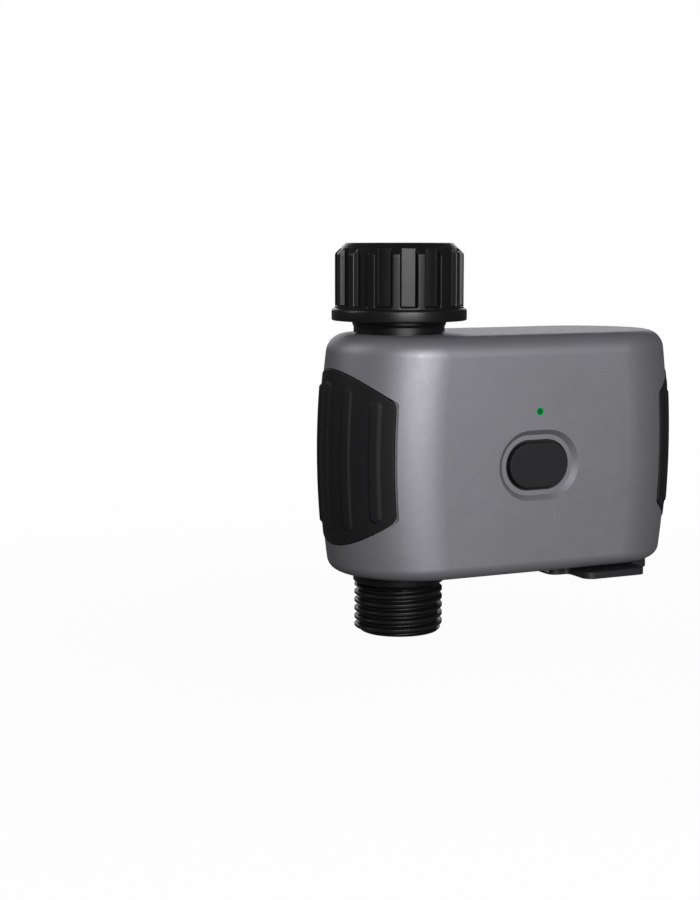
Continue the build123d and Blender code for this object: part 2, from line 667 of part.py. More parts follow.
def make_ball_seats():
    """Two seat rings hollowed to the ball."""
    ball = Pos(0, 0, BALL_Z) * Sphere(BALL_RADIUS + RUNNING_FIT)
    radius = VALVE_BORE_RADIUS - RUNNING_FIT
    seats = []
    for low, high in ((SEAT_LOW, SEAT_HIGH), (-SEAT_HIGH, -SEAT_LOW)):
        ring = rod_z(radius, BALL_Z + low, BALL_Z + high)
        ring -= rod_z(SEAT_INNER_RADIUS, BALL_Z + low - OVERRUN, BALL_Z + high + OVERRUN)
        seats.append(ring - ball)
    return Compound(children=seats)


def stem_ring_x():
    """Place of the O-ring along the stem."""
    return (VALVE_BORE_RADIUS + VALVE_BALL_WALL + CASE_X) / 2


def make_ball_stem():
    """Stem with a tang in the ball, an O-ring groove and a square end for the output gear."""
    low = VALVE_BORE_RADIUS - RUNNING_FIT
    stem = rod_x(STEM_RADIUS, low, CASE_FLOOR_X, 0, BALL_Z)
    tang_low = BALL_RADIUS - STEM_TANG_DEPTH
    tang_z = (BALL_Z - STEM_RADIUS, BALL_Z + STEM_RADIUS)
    tang = block((tang_low, low), (-STEM_TANG / 2, STEM_TANG / 2), tang_z)
    stem += tang & rod_x(STEM_RADIUS, tang_low, low, 0, BALL_Z)
    half = STEM_SQUARE / 2
    end = OUTPUT_X + OUTPUT_WIDTH
    stem += block((CASE_FLOOR_X, end), (-half, half), (BALL_Z - half, BALL_Z + half))
    x = stem_ring_x()
    reach = STEM_RING_THICKNESS / 2 + RUNNING_FIT
    groove = rod_x(STEM_RADIUS + OVERRUN, x - reach, x + reach, 0, BALL_Z)
    return stem - (groove - rod_x(STEM_RADIUS - STEM_RING_THICKNESS, x - reach, x + reach, 0, BALL_Z))


def make_stem_ring():
    """O-ring in the stem's groove."""
    ring = Torus(STEM_RADIUS - STEM_RING_THICKNESS / 2, STEM_RING_THICKNESS / 2)
    return Pos(stem_ring_x(), 0, BALL_Z) * Rot(0, 90, 0) * ring


def make_outlet_spigot():
    """Spigot with a plug in the valve body, a collar and the hose thread's plain envelope."""
    top = BALL_Z - SEAT_HIGH
    collar_low = HOUSING_BOTTOM_Z - OUTLET_COLLAR_DROP
    thread_top = OUTLET_END_Z + OUTLET_THREAD_LENGTH
    plug = VALVE_BORE_RADIUS - RUNNING_FIT
    points = [
        (OUTLET_BORE_RADIUS, top),
        (plug, top),
        (plug, INNER_BOTTOM_Z),
        (OUTLET_COLLAR_RADIUS, INNER_BOTTOM_Z),
        (OUTLET_COLLAR_RADIUS, collar_low),
        (OUTLET_ROOT_RADIUS, collar_low),
        (OUTLET_ROOT_RADIUS, thread_top),
        (OUTLET_THREAD_RADIUS, thread_top),
        (OUTLET_THREAD_RADIUS, OUTLET_END_Z + OUTLET_BEVEL),
        (OUTLET_THREAD_RADIUS - OUTLET_BEVEL, OUTLET_END_Z),
        (OUTLET_BORE_RADIUS, OUTLET_END_Z),
    ]
    return turned(points) - ring_groove(plug, outlet_ring_z())


def gear_outline(teeth, turn):
    """Stub involute teeth as a polygon, its first tooth at the given angle from +Y."""
    radius = GEAR_MODULE * teeth / 2
    base = radius * math.cos(math.radians(PRESSURE_ANGLE))
    tip = radius + TOOTH_ADDENDUM_SHARE * GEAR_MODULE
    root = radius - TOOTH_DEDENDUM_SHARE * GEAR_MODULE

    def involute(distance):
        angle = math.acos(min(base / distance, 1.0))
        return math.tan(angle) - angle

    half_pitch = math.pi / (2 * teeth) - BACKLASH / (2 * radius) + involute(radius)
    flank = [(r, half_pitch - involute(max(r, base))) for r in (root, radius, tip)]
    points = []
    for i in range(teeth):
        middle = math.radians(turn) + 2 * math.pi * i / teeth
        for r, half in flank:
            points.append((r * math.cos(middle - half), r * math.sin(middle - half)))
        for r, half in reversed(flank):
            points.append((r * math.cos(middle + half), r * math.sin(middle + half)))
    return make_face(Polyline(*points, close=True))


def mesh_turn(driver_teeth, driver_turn, driven_teeth, line_angle):
    """Turn of the driven gear, in degrees, that puts a gap of it on a tooth of the driver."""
    lead = (driver_turn - line_angle) % (360 / driver_teeth)
    gap = line_angle + 180 - lead * driver_teeth / driven_teeth
    return gap + 180 / driven_teeth


def gear_axes():
    """Places of the four axes in Y and Z: output, second gear, first gear and motor."""
    offset_y = SECOND_GEAR_OFFSET_Y
    output = (0.0, BALL_Z)
    second = (offset_y, BALL_Z - math.sqrt(FINAL_CENTRES**2 - offset_y**2))
    drop = math.sqrt(STAGE_CENTRES**2 - (2 * offset_y) ** 2)
    first = (-offset_y, second[1] - drop)
    motor = (offset_y, first[1] - drop)
    return output, second, first, motor


def line_angle(start, end):
    """Direction from one axis to another, in degrees from +Y."""
    return math.degrees(math.atan2(end[1] - start[1], end[0] - start[0]))


def toothed(teeth, turn, place, low, width):
    """Toothed disc on an axis."""
    return plate_x(Pos(*place) * gear_outline(teeth, turn), low, low + width)


def make_gears():
    """Output gear, two compound gears and the motor pinion, all in mesh at rest."""
    output, second, first, motor = gear_axes()
    second_turn = mesh_turn(OUTPUT_TEETH, 0.0, PINION_TEETH, line_angle(output, second))
    first_turn = mesh_turn(WHEEL_TEETH, 0.0, PINION_TEETH, line_angle(second, first))
    motor_turn = mesh_turn(WHEEL_TEETH, 0.0, PINION_TEETH, line_angle(first, motor))
    half = STEM_SQUARE / 2 + RUNNING_FIT
    output_gear = toothed(OUTPUT_TEETH, 0.0, output, OUTPUT_X, OUTPUT_WIDTH)
    x_span = (CASE_X, OUTPUT_X + OUTPUT_WIDTH + OVERRUN)
    output_gear -= block(x_span, (-half, half), (BALL_Z - half, BALL_Z + half))
    hub_low = CASE_FLOOR_X + SLIDING_FIT
    hub_high = LID_X - SLIDING_FIT
    second_gear = rod_x(HUB_RADIUS, hub_low, hub_high, *second)
    second_gear += toothed(PINION_TEETH, second_turn, second, OUTPUT_X, SECOND_X - OUTPUT_X)
    second_gear += toothed(WHEEL_TEETH, 0.0, second, SECOND_X, GEAR_WIDTH)
    second_gear -= rod_x(PIN_RADIUS + RUNNING_FIT, CASE_X, MOTOR_X, *second)
    first_gear = rod_x(HUB_RADIUS, hub_low, hub_high, *first)
    first_gear += toothed(PINION_TEETH, first_turn, first, SECOND_X, FIRST_X - SECOND_X)
    first_gear += toothed(WHEEL_TEETH, 0.0, first, FIRST_X, GEAR_WIDTH)
    first_gear -= rod_x(PIN_RADIUS + RUNNING_FIT, CASE_X, MOTOR_X, *first)
    pinion = toothed(PINION_TEETH, motor_turn, motor, FIRST_X, GEAR_WIDTH)
    pinion += rod_x(MOTOR_SHAFT_RADIUS, FIRST_X, MOTOR_X + 2 * LID_HEIGHT, *motor)
    return output_gear, second_gear, first_gear, pinion


def make_gear_pins():
    """Fixed pins of the two compound gears, held in the case and the lid."""
    places = gear_axes()[1:3]
    low = CASE_X + CASE_WALL / 2
    high = LID_X + LID_HEIGHT / 2
    return Compound(children=[rod_x(PIN_RADIUS, low, high, *place) for place in places])


def case_outline(inset):
    """Gearbox outline in Y and Z, shrunk evenly."""
    top = BALL_Z + GEAR_MODULE * OUTPUT_TEETH / 2 + CASE_TOP_MARGIN
    bottom = INNER_BOTTOM_Z + 2 * CASE_TOP_MARGIN
    size = (2 * (CASE_HALF_DEPTH - inset), top - bottom - 2 * inset)
    return Pos(0, (top + bottom) / 2) * RectangleRounded(*size, CASE_ROUND - inset / 2)


def case_screw_places():
    """Places of the gearbox's four screws in Y and Z."""
    top = BALL_Z + GEAR_MODULE * OUTPUT_TEETH / 2 + CASE_TOP_MARGIN
    bottom = INNER_BOTTOM_Z + 2 * CASE_TOP_MARGIN
    y = CASE_HALF_DEPTH - CASE_SCREW_INSET
    return [(i * y, z) for i in (-1, 1) for z in (bottom + CASE_SCREW_INSET, top - CASE_SCREW_INSET)]


def make_gearbox():
    """Gearbox case and lid, with screw bosses and pin holes."""
    case = plate_x(case_outline(0.0), CASE_X, LID_X) - plate_x(case_outline(CASE_WALL), CASE_FLOOR_X, LID_X)
    for place in case_screw_places():
        case += rod_x(CASE_SCREW_INSET, CASE_X, LID_X, *place)
        case -= rod_x(CASE_SCREW_RADIUS, LID_X - CASE_SCREW_LENGTH, LID_X, *place)
    output, second, first, motor = gear_axes()
    case -= rod_x(STEM_RADIUS + RUNNING_FIT, CASE_X - OVERRUN, CASE_FLOOR_X + OVERRUN, *output)
    lid = plate_x(case_outline(0.0), LID_X, MOTOR_X)
    lid -= rod_x(MOTOR_SHAFT_RADIUS + SLIDING_FIT, LID_X - OVERRUN, MOTOR_X + OVERRUN, *motor)
    for place in case_screw_places():
        lid -= rod_x(CASE_SCREW_RADIUS + SLIDING_FIT, LID_X - OVERRUN, MOTOR_X + OVERRUN, *place)
    pins = make_gear_pins()
    return case - pins, lid - pins


def make_gearbox_screws():
    """Four small screws through the lid."""
    screws = []
    for place in case_screw_places():
        shank = rod_x(CASE_SCREW_RADIUS, MOTOR_X - CASE_SCREW_LENGTH, MOTOR_X, *place)
        screws.append(shank + rod_x(CASE_SCREW_HEAD_RADIUS, MOTOR_X, MOTOR_X + CASE_SCREW_HEAD, *place))
    return Compound(children=screws)


def make_motor():
    """Small direct-current motor with two flats and a shaft bore."""
    y, z = gear_axes()[3]
    x_span = (MOTOR_X, MOTOR_X + MOTOR_LENGTH)
    motor = rod_x(MOTOR_RADIUS, *x_span, y, z)
    half = MOTOR_FLAT / 2
    motor &= block(x_span, (y - MOTOR_RADIUS, y + MOTOR_RADIUS), (z - half, z + half))
    return motor - rod_x(MOTOR_SHAFT_RADIUS + RUNNING_FIT, MOTOR_X - OVERRUN, MOTOR_X + 3 * LID_HEIGHT, y, z)


def make_button():
    """Oval push button with a crowned face and a flange behind the wall."""
    stem = plate_y(button_oval(0.0), BUTTON_FACE_Y, INNER_FRONT_Y)
    face = stem.faces().sort_by(Axis.Y)[0]
    stem = fillet(face.edges(), BUTTON_EDGE)
    return stem + plate_y(button_oval(BUTTON_FLANGE), INNER_FRONT_Y, INNER_FRONT_Y + BUTTON_FLANGE_HEIGHT)


def make_button_seal():
    """Rubber frame round the button's flange, on the inside of the wall."""
    outer = button_oval(BUTTON_FLANGE + SLIDING_FIT + SEAL_WIDTH)
    inner = button_oval(BUTTON_FLANGE + SLIDING_FIT)
    return plate_y(outer - inner, INNER_FRONT_Y, INNER_FRONT_Y + BUTTON_FLANGE_HEIGHT + BUTTON_TRAVEL)


def make_light_pipe():
    """Clear rod that carries the status light to the front."""
    chip_y = BOARD_Y - LIGHT_CHIP_HEIGHT - LOOSE_FIT
    pipe = rod_y(LIGHT_RADIUS, FRONT_Y, chip_y, BUTTON_X, LIGHT_Z)
    flange_y = INNER_FRONT_Y + LIGHT_FLANGE_HEIGHT
    return pipe + rod_y(LIGHT_FLANGE_RADIUS, INNER_FRONT_Y, flange_y, BUTTON_X, LIGHT_Z)


def make_circuit_board():
    """Board with rounded corners and four screw holes."""
    width = BOARD_RIGHT_X - BOARD_LEFT_X
    height = BOARD_TOP_Z - BOARD_BOTTOM_Z
    centre = ((BOARD_RIGHT_X + BOARD_LEFT_X) / 2, (BOARD_TOP_Z + BOARD_BOTTOM_Z) / 2)
    outline = Pos(*centre) * RectangleRounded(width, height, BOARD_ROUND)
    board = plate_y(outline, BOARD_Y, BOARD_Y + BOARD_THICKNESS)
    for x, z in board_screw_places():
        board -= rod_y(BOARD_SCREW_RADIUS + SLIDING_FIT, BOARD_Y - OVERRUN, 0, x, z)
    return board


def make_board_screws():
    """Four screws from behind the board into the front shell's posts."""
    screws = []
    back = BOARD_Y + BOARD_THICKNESS
    for x, z in board_screw_places():
        shank = rod_y(BOARD_SCREW_RADIUS, INNER_FRONT_Y + LOOSE_FIT, back, x, z)
        screws.append(shank + rod_y(2 * BOARD_SCREW_RADIUS, back, back + CASE_SCREW_HEAD, x, z))
    return Compound(children=screws)


def make_tact_switch():
    """Tact switch behind the button, its knob just clear of the pressed button."""
    half = SWITCH_SIZE / 2
    body = block(
        (BUTTON_X - half, BUTTON_X + half),
        (BOARD_Y - SWITCH_HEIGHT, BOARD_Y),
        (BUTTON_Z - half, BUTTON_Z + half),
    )
    pressed = INNER_FRONT_Y + BUTTON_FLANGE_HEIGHT + BUTTON_TRAVEL + RUNNING_FIT
    return body + rod_y(SWITCH_KNOB_RADIUS, pressed, BOARD_Y, BUTTON_X, BUTTON_Z)


def make_status_chip():
    """Light source on the board."""
    half = LIGHT_CHIP / 2
    return block(
        (BUTTON_X - half, BUTTON_X + half),
        (BOARD_Y - LIGHT_CHIP_HEIGHT, BOARD_Y),
        (LIGHT_Z - half, LIGHT_Z + half),
    )


def make_radio_module():
    """Radio module: a small board with a metal shield, its aerial end left bare."""
    x_span = (RADIO_X - RADIO_WIDTH / 2, RADIO_X + RADIO_WIDTH / 2)
    z_span = (RADIO_Z - RADIO_HEIGHT / 2, RADIO_Z + RADIO_HEIGHT / 2)
    module = block(x_span, (BOARD_Y - RADIO_BOARD, BOARD_Y), z_span)
    shield_x = (x_span[0] + RADIO_BOARD, x_span[1] - RADIO_BOARD)
    shield_z = (z_span[0] + RADIO_BOARD, z_span[1] - RADIO_HEIGHT / 3)
    return module + block(shield_x, (BOARD_Y - RADIO_BOARD - RADIO_SHIELD, BOARD_Y - RADIO_BOARD), shield_z)


def cell_places():
    """Centres of the four cells in X and Y, and which way up each stands."""
    half = CELL_SPACE / 2
    return [(TRAY_X + i * half, k * half, i * k) for i in (-1, 1) for k in (-1, 1)]


def make_battery_well():
    """Dry sleeve that the tray slides in, closed at the top but for two blade slots."""
    well = square_post(WELL_OUTER, WELL_OUTER, (HOUSING_BOTTOM_Z, WELL_TOP_Z), TRAY_X)
    well -= square_post(WELL_INNER, WELL_INNER, (HOUSING_BOTTOM_Z - OVERRUN, WELL_TOP_Z - WELL_WALL), TRAY_X)
    for x, y in blade_places():
        size = (BLADE_WIDTH, CONTACT_THICKNESS)
        well -= square_post(*size, (WELL_TOP_Z - 2 * WELL_WALL, WELL_TOP_Z + OVERRUN), x, y)
    return well


def blade_places():
    """Centres of the two terminal blades in X and Y."""
    return [(TRAY_X + i * CELL_SPACE / 2, -CELL_SPACE / 2) for i in (-1, 1)]


def make_battery_tray():
    """Tray with two open sides, a middle web and windows over its two contacts."""
    tray = square_post(TRAY_SIZE, TRAY_SIZE, (TRAY_BOTTOM_Z, TRAY_TOP_Z), TRAY_X)
    x_span = (TRAY_X - CELL_SPACE, TRAY_X + CELL_SPACE)
    z_span = (TRAY_BOTTOM_Z + TRAY_FLOOR, TRAY_TOP_Z - TRAY_FLOOR)
    tray -= block(x_span, (-TRAY_SIZE, -TRAY_WEB / 2), z_span)
    tray -= block(x_span, (TRAY_WEB / 2, TRAY_SIZE), z_span)
    for x, y in blade_places():
        window = (TRAY_TOP_Z - 2 * TRAY_FLOOR, TRAY_TOP_Z + OVERRUN)
        tray -= square_post(WINDOW_LENGTH, WINDOW_WIDTH, window, x, y)
    return tray


def make_terminal_blades():
    """Two fixed blades that reach down through the well's roof to the tray's contacts."""
    low = CELL_TOP_Z + CONTACT_THICKNESS + LOOSE_FIT
    blades = []
    for x, y in blade_places():
        size = (BLADE_WIDTH, CONTACT_THICKNESS)
        blade = square_post(*size, (low, WELL_TOP_Z + WELL_WALL), x, y)
        foot = square_post(BLADE_WIDTH, BLADE_WIDTH / 2, (low, low + CONTACT_THICKNESS), x, y)
        blades.append(blade + foot)
    return Compound(children=blades)


def make_tray_contacts():
    """Two contacts above the front cells, one bridge above the rear pair and two bridges below."""
    top = (CELL_TOP_Z, CELL_TOP_Z + CONTACT_THICKNESS)
    bottom = (CELL_BOTTOM_Z - CONTACT_THICKNESS, CELL_BOTTOM_Z)
    half = CONTACT_WIDTH / 2
    row = CELL_SPACE / 2
    long_half = CELL_SPACE / 2 + half
    pieces = [block((x - half, x + half), (y - half, y + half), top) for x, y in blade_places()]
    pieces.append(block((TRAY_X - long_half, TRAY_X + long_half), (row - half, row + half), top))
    for i in (-1, 1):
        y_low, y_high = (TRAY_WEB, row + half)
        x = TRAY_X + i * row
        pieces.append(block((x - half, x + half), (y_low, y_high), bottom))
        pieces.append(block((x - half, x + half), (-y_high, -y_low), bottom))
    return Compound(children=pieces)


def make_cells():
    """Four upright cells, turn and turn about."""
    cells = []
    for x, y, way in cell_places():
        can_low = CELL_BOTTOM_Z + (CELL_NUB_HEIGHT if way < 0 else 0)
        can = rod_z(CELL_RADIUS, can_low, can_low + CELL_LENGTH - CELL_NUB_HEIGHT, x, y)
        cells.append(can + rod_z(CELL_NUB_RADIUS, CELL_BOTTOM_Z, CELL_TOP_Z, x, y))
    return Compound(children=cells)


def make_tray_cover():
    """Cover with a finger tab that reaches to the housing's front, and a plug for the gasket."""
    side = WELL_OUTER - COVER_MARGIN
    slab_x = TRAY_X + COVER_LIP / 2
    slab = square_post(side + COVER_LIP, side, (COVER_BOTTOM_Z, PLUG_BOTTOM_Z), slab_x, 0.0, COVER_ROUND)
    tab_x = TRAY_X + TAB_SHIFT
    tab_depth = TAB_REACH
    tab_z = (COVER_BOTTOM_Z, COVER_BOTTOM_Z + COVER_THICKNESS)
    tab = square_post(TAB_WIDTH, tab_depth, tab_z, tab_x, -tab_depth / 2, COVER_ROUND)
    cover = slab + tab
    uprights = cover.edges().filter_by(Axis.Z)
    beside = [e for e in uprights if abs(abs(e.center().X - tab_x) - TAB_WIDTH / 2) < SLIDING_FIT]
    roots = [e for e in beside if abs(e.center().Y + side / 2) < SLIDING_FIT]
    cover = fillet(roots, TAB_FILLET)
    core = TRAY_SIZE - 2 * GASKET_WIDTH
    cover += square_post(TRAY_SIZE, TRAY_SIZE, (PLUG_BOTTOM_Z, TRAY_BOTTOM_Z), TRAY_X)
    low = (PLUG_BOTTOM_Z + TRAY_BOTTOM_Z - GASKET_HEIGHT) / 2
    groove = square_post(TRAY_SIZE + OVERRUN, TRAY_SIZE + OVERRUN, (low, low + GASKET_HEIGHT), TRAY_X)
    return cover - (groove - square_post(core, core, (low, low + GASKET_HEIGHT), TRAY_X))


def make_cover_gasket():
    """Square rubber ring round the cover's plug."""
    core = TRAY_SIZE - 2 * GASKET_WIDTH
    low = (PLUG_BOTTOM_Z + TRAY_BOTTOM_Z - GASKET_HEIGHT) / 2
    span = (low, low + GASKET_HEIGHT)
    outer = WELL_INNER - 2 * SLIDING_FIT
    return square_post(outer, outer, span, TRAY_X) - square_post(core, core, span, TRAY_X)


def build():
    """All sub-parts by name."""
    form = rounded_housing(0.0)
    floor_form = housing_form(-GRIP_DEPTH)
    floors = {-1: floor_form, 1: floor_form}
    blank = shell_blank(form, floors)
    gasket = make_shell_gasket()
    case, lid = make_gearbox()
    output_gear, second_gear, first_gear, pinion = make_gears()
    return {
        "front_shell": make_front_shell(blank),
        "rear_cover": make_rear_cover(blank, form, gasket),
        "shell_gasket": gasket,
        "cover_screws": make_cover_screws(),
        "left_grip": make_grip(-1, floor_form),
        "right_grip": make_grip(1, floor_form),
        "swivel_nut": make_swivel_nut(),
        "inlet_tailpiece": make_tailpiece(),
        "inlet_washer": make_washer(),
        "filter_screen": make_filter_screen(),
        "neck_collar": make_neck_collar(),
        "inlet_o_ring": torus_z(TAIL_RADIUS, O_RING_THICKNESS, tail_ring_z()),
        "valve_body": make_valve_body(),
        "valve_ball": make_ball(),
        "ball_seats": make_ball_seats(),
        "ball_stem": make_ball_stem(),
        "stem_o_ring": make_stem_ring(),
        "outlet_spigot": make_outlet_spigot(),
        "outlet_o_ring": torus_z(VALVE_BORE_RADIUS - RUNNING_FIT, O_RING_THICKNESS, outlet_ring_z()),
        "gearbox_case": case,
        "gearbox_lid": lid,
        "gearbox_screws": make_gearbox_screws(),
        "gear_pins": make_gear_pins(),
        "output_gear": output_gear,
        "second_gear": second_gear,
        "first_gear": first_gear,
        "motor_pinion": pinion,
        "motor": make_motor(),
        "push_button": make_button(),
        "button_seal": make_button_seal(),
        "light_pipe": make_light_pipe(),
        "circuit_board": make_circuit_board(),
        "board_screws": make_board_screws(),
        "tact_switch": make_tact_switch(),
        "status_light_chip": make_status_chip(),
        "radio_module": make_radio_module(),
        "battery_well": make_battery_well(),
        "terminal_blades": make_terminal_blades(),
        "battery_tray": make_battery_tray(),
        "tray_contacts": make_tray_contacts(),
        "battery_cells": make_cells(),
        "tray_cover": make_tray_cover(),
        "cover_gasket": make_cover_gasket(),
    }


os.makedirs("parts", exist_ok=True)
for name, shape in build().items():
    export_step(shape, f"parts/{name}.step")
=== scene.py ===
import json
import math

import bpy
import numpy as np
from bpy.props import (
    CollectionProperty,
    FloatProperty,
    IntProperty,
    PointerProperty,
    StringProperty,
)
from bpy.types import Operator, Panel, PropertyGroup
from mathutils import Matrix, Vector


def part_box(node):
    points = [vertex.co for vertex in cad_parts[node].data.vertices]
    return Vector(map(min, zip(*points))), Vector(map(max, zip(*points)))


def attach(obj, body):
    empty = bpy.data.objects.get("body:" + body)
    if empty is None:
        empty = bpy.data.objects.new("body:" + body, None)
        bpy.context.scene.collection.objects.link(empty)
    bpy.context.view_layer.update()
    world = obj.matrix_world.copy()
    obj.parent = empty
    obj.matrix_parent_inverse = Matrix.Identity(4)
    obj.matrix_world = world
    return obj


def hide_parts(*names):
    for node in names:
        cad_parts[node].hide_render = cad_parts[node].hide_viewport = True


bl_info = {
    "name": "Smart water valve",
    "version": (1, 0, 0),
    "blender": (4, 5, 0),
    "location": "3D View > Sidebar > Water valve",
    "description": "Dresses the valve's CAD frame with ribs, threads, grips and finishes",
    "category": "Add Mesh",
}

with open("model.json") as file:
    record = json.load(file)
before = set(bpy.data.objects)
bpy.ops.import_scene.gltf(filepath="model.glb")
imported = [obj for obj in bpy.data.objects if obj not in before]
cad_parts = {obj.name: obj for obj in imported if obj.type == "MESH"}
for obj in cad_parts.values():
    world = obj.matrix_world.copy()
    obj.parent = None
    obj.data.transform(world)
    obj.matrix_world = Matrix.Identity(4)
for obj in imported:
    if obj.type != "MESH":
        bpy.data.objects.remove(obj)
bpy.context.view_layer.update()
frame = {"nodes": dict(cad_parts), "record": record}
MM = 0.001


def node_heights(name):
    """Lowest and highest Z of a CAD node in millimetres."""
    low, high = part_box(name)
    return low[2] / MM, high[2] / MM


NUT_FOOT, NUT_TOP = node_heights("swivel_nut")
SPIGOT_FOOT, SPIGOT_TOP = node_heights("outlet_spigot")
LIGHT_MID_Z = sum(node_heights("light_pipe")) / 2
HOUSING_TOP = node_heights("front_shell")[1]

# The housing's measures, which the drawn pieces have to meet, in millimetres
HOUSING_LONG = 114.0
HOUSING_DEEP = 50.6
HOUSING_TALL = 70.7
HOUSING_MID_X = 33.6
HOUSING_MID_Z = HOUSING_TOP - HOUSING_TALL / 2
HOUSING_FOOT = HOUSING_TOP - HOUSING_TALL
END_RADIUS = HOUSING_DEEP / 2
END_BOW = 2.8
END_X = {side: HOUSING_MID_X + side * (HOUSING_LONG - HOUSING_DEEP) / 2 for side in (-1, 1)}

# Arcs from a valley's middle at which the nut has points, for a half pitch of SAMPLED_HALF_PITCH
RIB_SAMPLES = (0, 0.9, 1.8, 2.04, 2.14, 2.26, 2.4, 2.54, 2.66, 2.78, 2.95, 3.3)
SAMPLED_HALF_PITCH = 3.73

# The grips, in millimetres
GRIP_HALF_WIDTH = 21.53
GRIP_CROWN = 25.93
GRIP_CORNER = 17.03
GRIP_DROP = 0.4
RAIL_PITCH = 9.6
RAIL_HALF_WIDTH = 1.85
RAIL_LENGTHS = (35.4, 41.8, 44.6, 41.8, 35.4)

# The stage, in millimetres and radians; the camera's place was found by fitting the thread, the
# nut, the housing's edges, the button and the light to the photograph
CAMERA_PLACE = (-223.27, -449.57, 15.07)
CAMERA_TURN = 0.432
CAMERA_PITCH = 0.12343
CAMERA_LENS = 67.708
OBJECT_MIDDLE = (20.0, 0.0, -45.0)
FLOOR_Z = -150.0


# Sizes and colours that a user may change


def length(name, description, default):
    """Length property in metres, its default given in millimetres."""
    return FloatProperty(
        name=name, description=description, default=default * MM, unit="LENGTH", precision=5
    )


def colour(name, description, default):
    """Colour kept as an sRGB hex value."""
    return StringProperty(name=name, description=description, default=default)


class VALVE_PG_sizes(PropertyGroup):
    """Sizes of the dressed pieces."""

    nut_ribs: IntProperty(
        name="Nut ribs", description="Grip ribs round the swivel nut", default=16, min=8
    )
    rib_depth: length("Rib depth", "How deep the valleys between the nut's ribs are", 1.6)
    rib_turn: FloatProperty(
        name="Rib turn",
        description="Turn of the nut at rest",
        default=math.radians(-119.0),
        subtype="ANGLE",
    )
    inlet_pitch: length("Inlet pitch", "Rise of the nut's thread in one turn", 1.814)
    outlet_pitch: length("Outlet pitch", "Rise of the outlet's thread in one turn", 2.5)
    outlet_thread_depth: length("Outlet thread depth", "Crest to root of the outlet's thread", 1.57)
    rail_raise: length("Rail height", "How far the grips' rails stand out", 0.6)


class VALVE_PG_colours(PropertyGroup):
    """Finish colours as sRGB hex values."""

    housing: colour("Housing", "Grey of the two shells", "#77767b")
    fleck: colour("Housing fleck", "Bright flakes in the grey", "#7d7c82")
    grip: colour("Grips", "Black of the soft grips", "#131314")
    nylon: colour("Fittings", "Black of the nut, collar and spigot", "#0b0b0c")
    button: colour("Button", "Black of the push button", "#18181a")
    # The lens material paints this brighter green as a highlight towards the lens's edge
    light: colour("Status light", "Green of the light's lens", "#0f8a42")
    brass: colour("Brass", "Stem and pinion", "#b48a45")
    board: colour("Board", "Solder mask of the circuit board", "#1d5a37")


# Mesh tools


def quads_of(rows, columns, wrap_rows):
    """Faces of a grid of points: each joins (i, j), (i, j+1), (i+1, j+1) and (i+1, j), where j
    wraps round, and i too if asked."""
    i = np.arange(rows if wrap_rows else rows - 1)[:, None]
    j = np.arange(columns)[None, :]
    after_i = (i + 1) % rows
    after_j = (j + 1) % columns
    near, far = i * columns, after_i * columns
    corners = (near + j, near + after_j, far + after_j, far + j)
    return np.stack(np.broadcast_arrays(*corners), axis=-1).reshape(-1, 4)


def outward(points, quads):
    """Faces turned outwards: a closed form's signed volume, the sum of a.(b x c) over its
    triangles, is positive when its faces point out."""
    a, b, c, d = (points[quads[:, k]] for k in range(4))
    volume = np.einsum("ij,ij->", a, np.cross(b, c)) + np.einsum("ij,ij->", a, np.cross(c, d))
    return quads if volume > 0 else quads[:, ::-1]


def make_piece(name, points, quads, sharp=32.0, closed=True):
    """Mesh object from points in millimetres, smooth but for edges sharper than an angle."""
    if closed:
        quads = outward(points, quads)
    mesh = bpy.data.meshes.new(name)
    mesh.from_pydata((points * MM).tolist(), [], quads.tolist())
    mesh.validate()
    mesh.shade_smooth()
    mesh.set_sharp_from_angle(angle=math.radians(sharp))
    piece = bpy.data.objects.new(name, mesh)
    bpy.context.scene.collection.objects.link(piece)
    return piece


def softened(corners, steps=6):
    """Closed profile with each corner (r, z, radius) rounded by a quadratic curve: the points
    P(t) = (1-t)^2 A + 2t(1-t) C + t^2 B, where C is the corner and A and B lie a radius from it."""
    profile = []
    count = len(corners)
    for k, (r, z, radius) in enumerate(corners):
        corner = np.array((r, z))
        if radius <= 0:
            profile.append(corner)
            continue
        before = np.array(corners[k - 1][:2]) - corner
        after = np.array(corners[(k + 1) % count][:2]) - corner
        start = corner + before / np.linalg.norm(before) * radius
        end = corner + after / np.linalg.norm(after) * radius
        t = np.linspace(0, 1, steps)[:, None]
        profile.extend((1 - t) ** 2 * start + 2 * t * (1 - t) * corner + t**2 * end)
    return np.array(profile)


def spaced(profile, coarse, fine, low, high):
    """Closed profile with its runs divided: into fine steps where a run's middle lies between two
    heights, and into coarse ones elsewhere."""
    run = np.roll(profile, -1, axis=0) - profile
    middle = profile[:, 1] + run[:, 1] / 2
    step = np.where((middle > low) & (middle < high), fine, coarse)
    counts = np.maximum(1, np.ceil(np.hypot(*run.T) / step)).astype(int)
    owner = np.repeat(np.arange(len(profile)), counts)
    first = np.repeat(np.cumsum(counts) - counts, counts)
    share = (np.arange(counts.sum()) - first) / counts[owner]
    return profile[owner] + run[owner] * share[:, None]


def swept_round(profile, angles, shift):
    """Closed ring: point (i, j) is the profile's j-th radius, changed by shift[i, j], and height
    carried to angle i about Z."""
    radius = profile[:, 0] + shift
    height = np.broadcast_to(profile[:, 1], radius.shape)
    across, along = np.cos(angles)[:, None], np.sin(angles)[:, None]
    points = np.stack((radius * across, radius * along, height), axis=-1)
    return points.reshape(-1, 3), quads_of(*radius.shape, wrap_rows=True)


def smooth_step(value, low, high):
    """Rises from 0 to 1 between two limits as 3t^2 - 2t^3."""
    t = np.clip((value - low) / (high - low), 0, 1)
    return t * t * (3 - 2 * t)


# Pieces


def thread_place(height, angles, pitch, start):
    """Where along a thread's tooth each angle and height lies: p = height/pitch - angle/turn +
    start, which is a whole number on the crest."""
    return height[None, :] / pitch - angles[:, None] / (2 * math.pi) + start


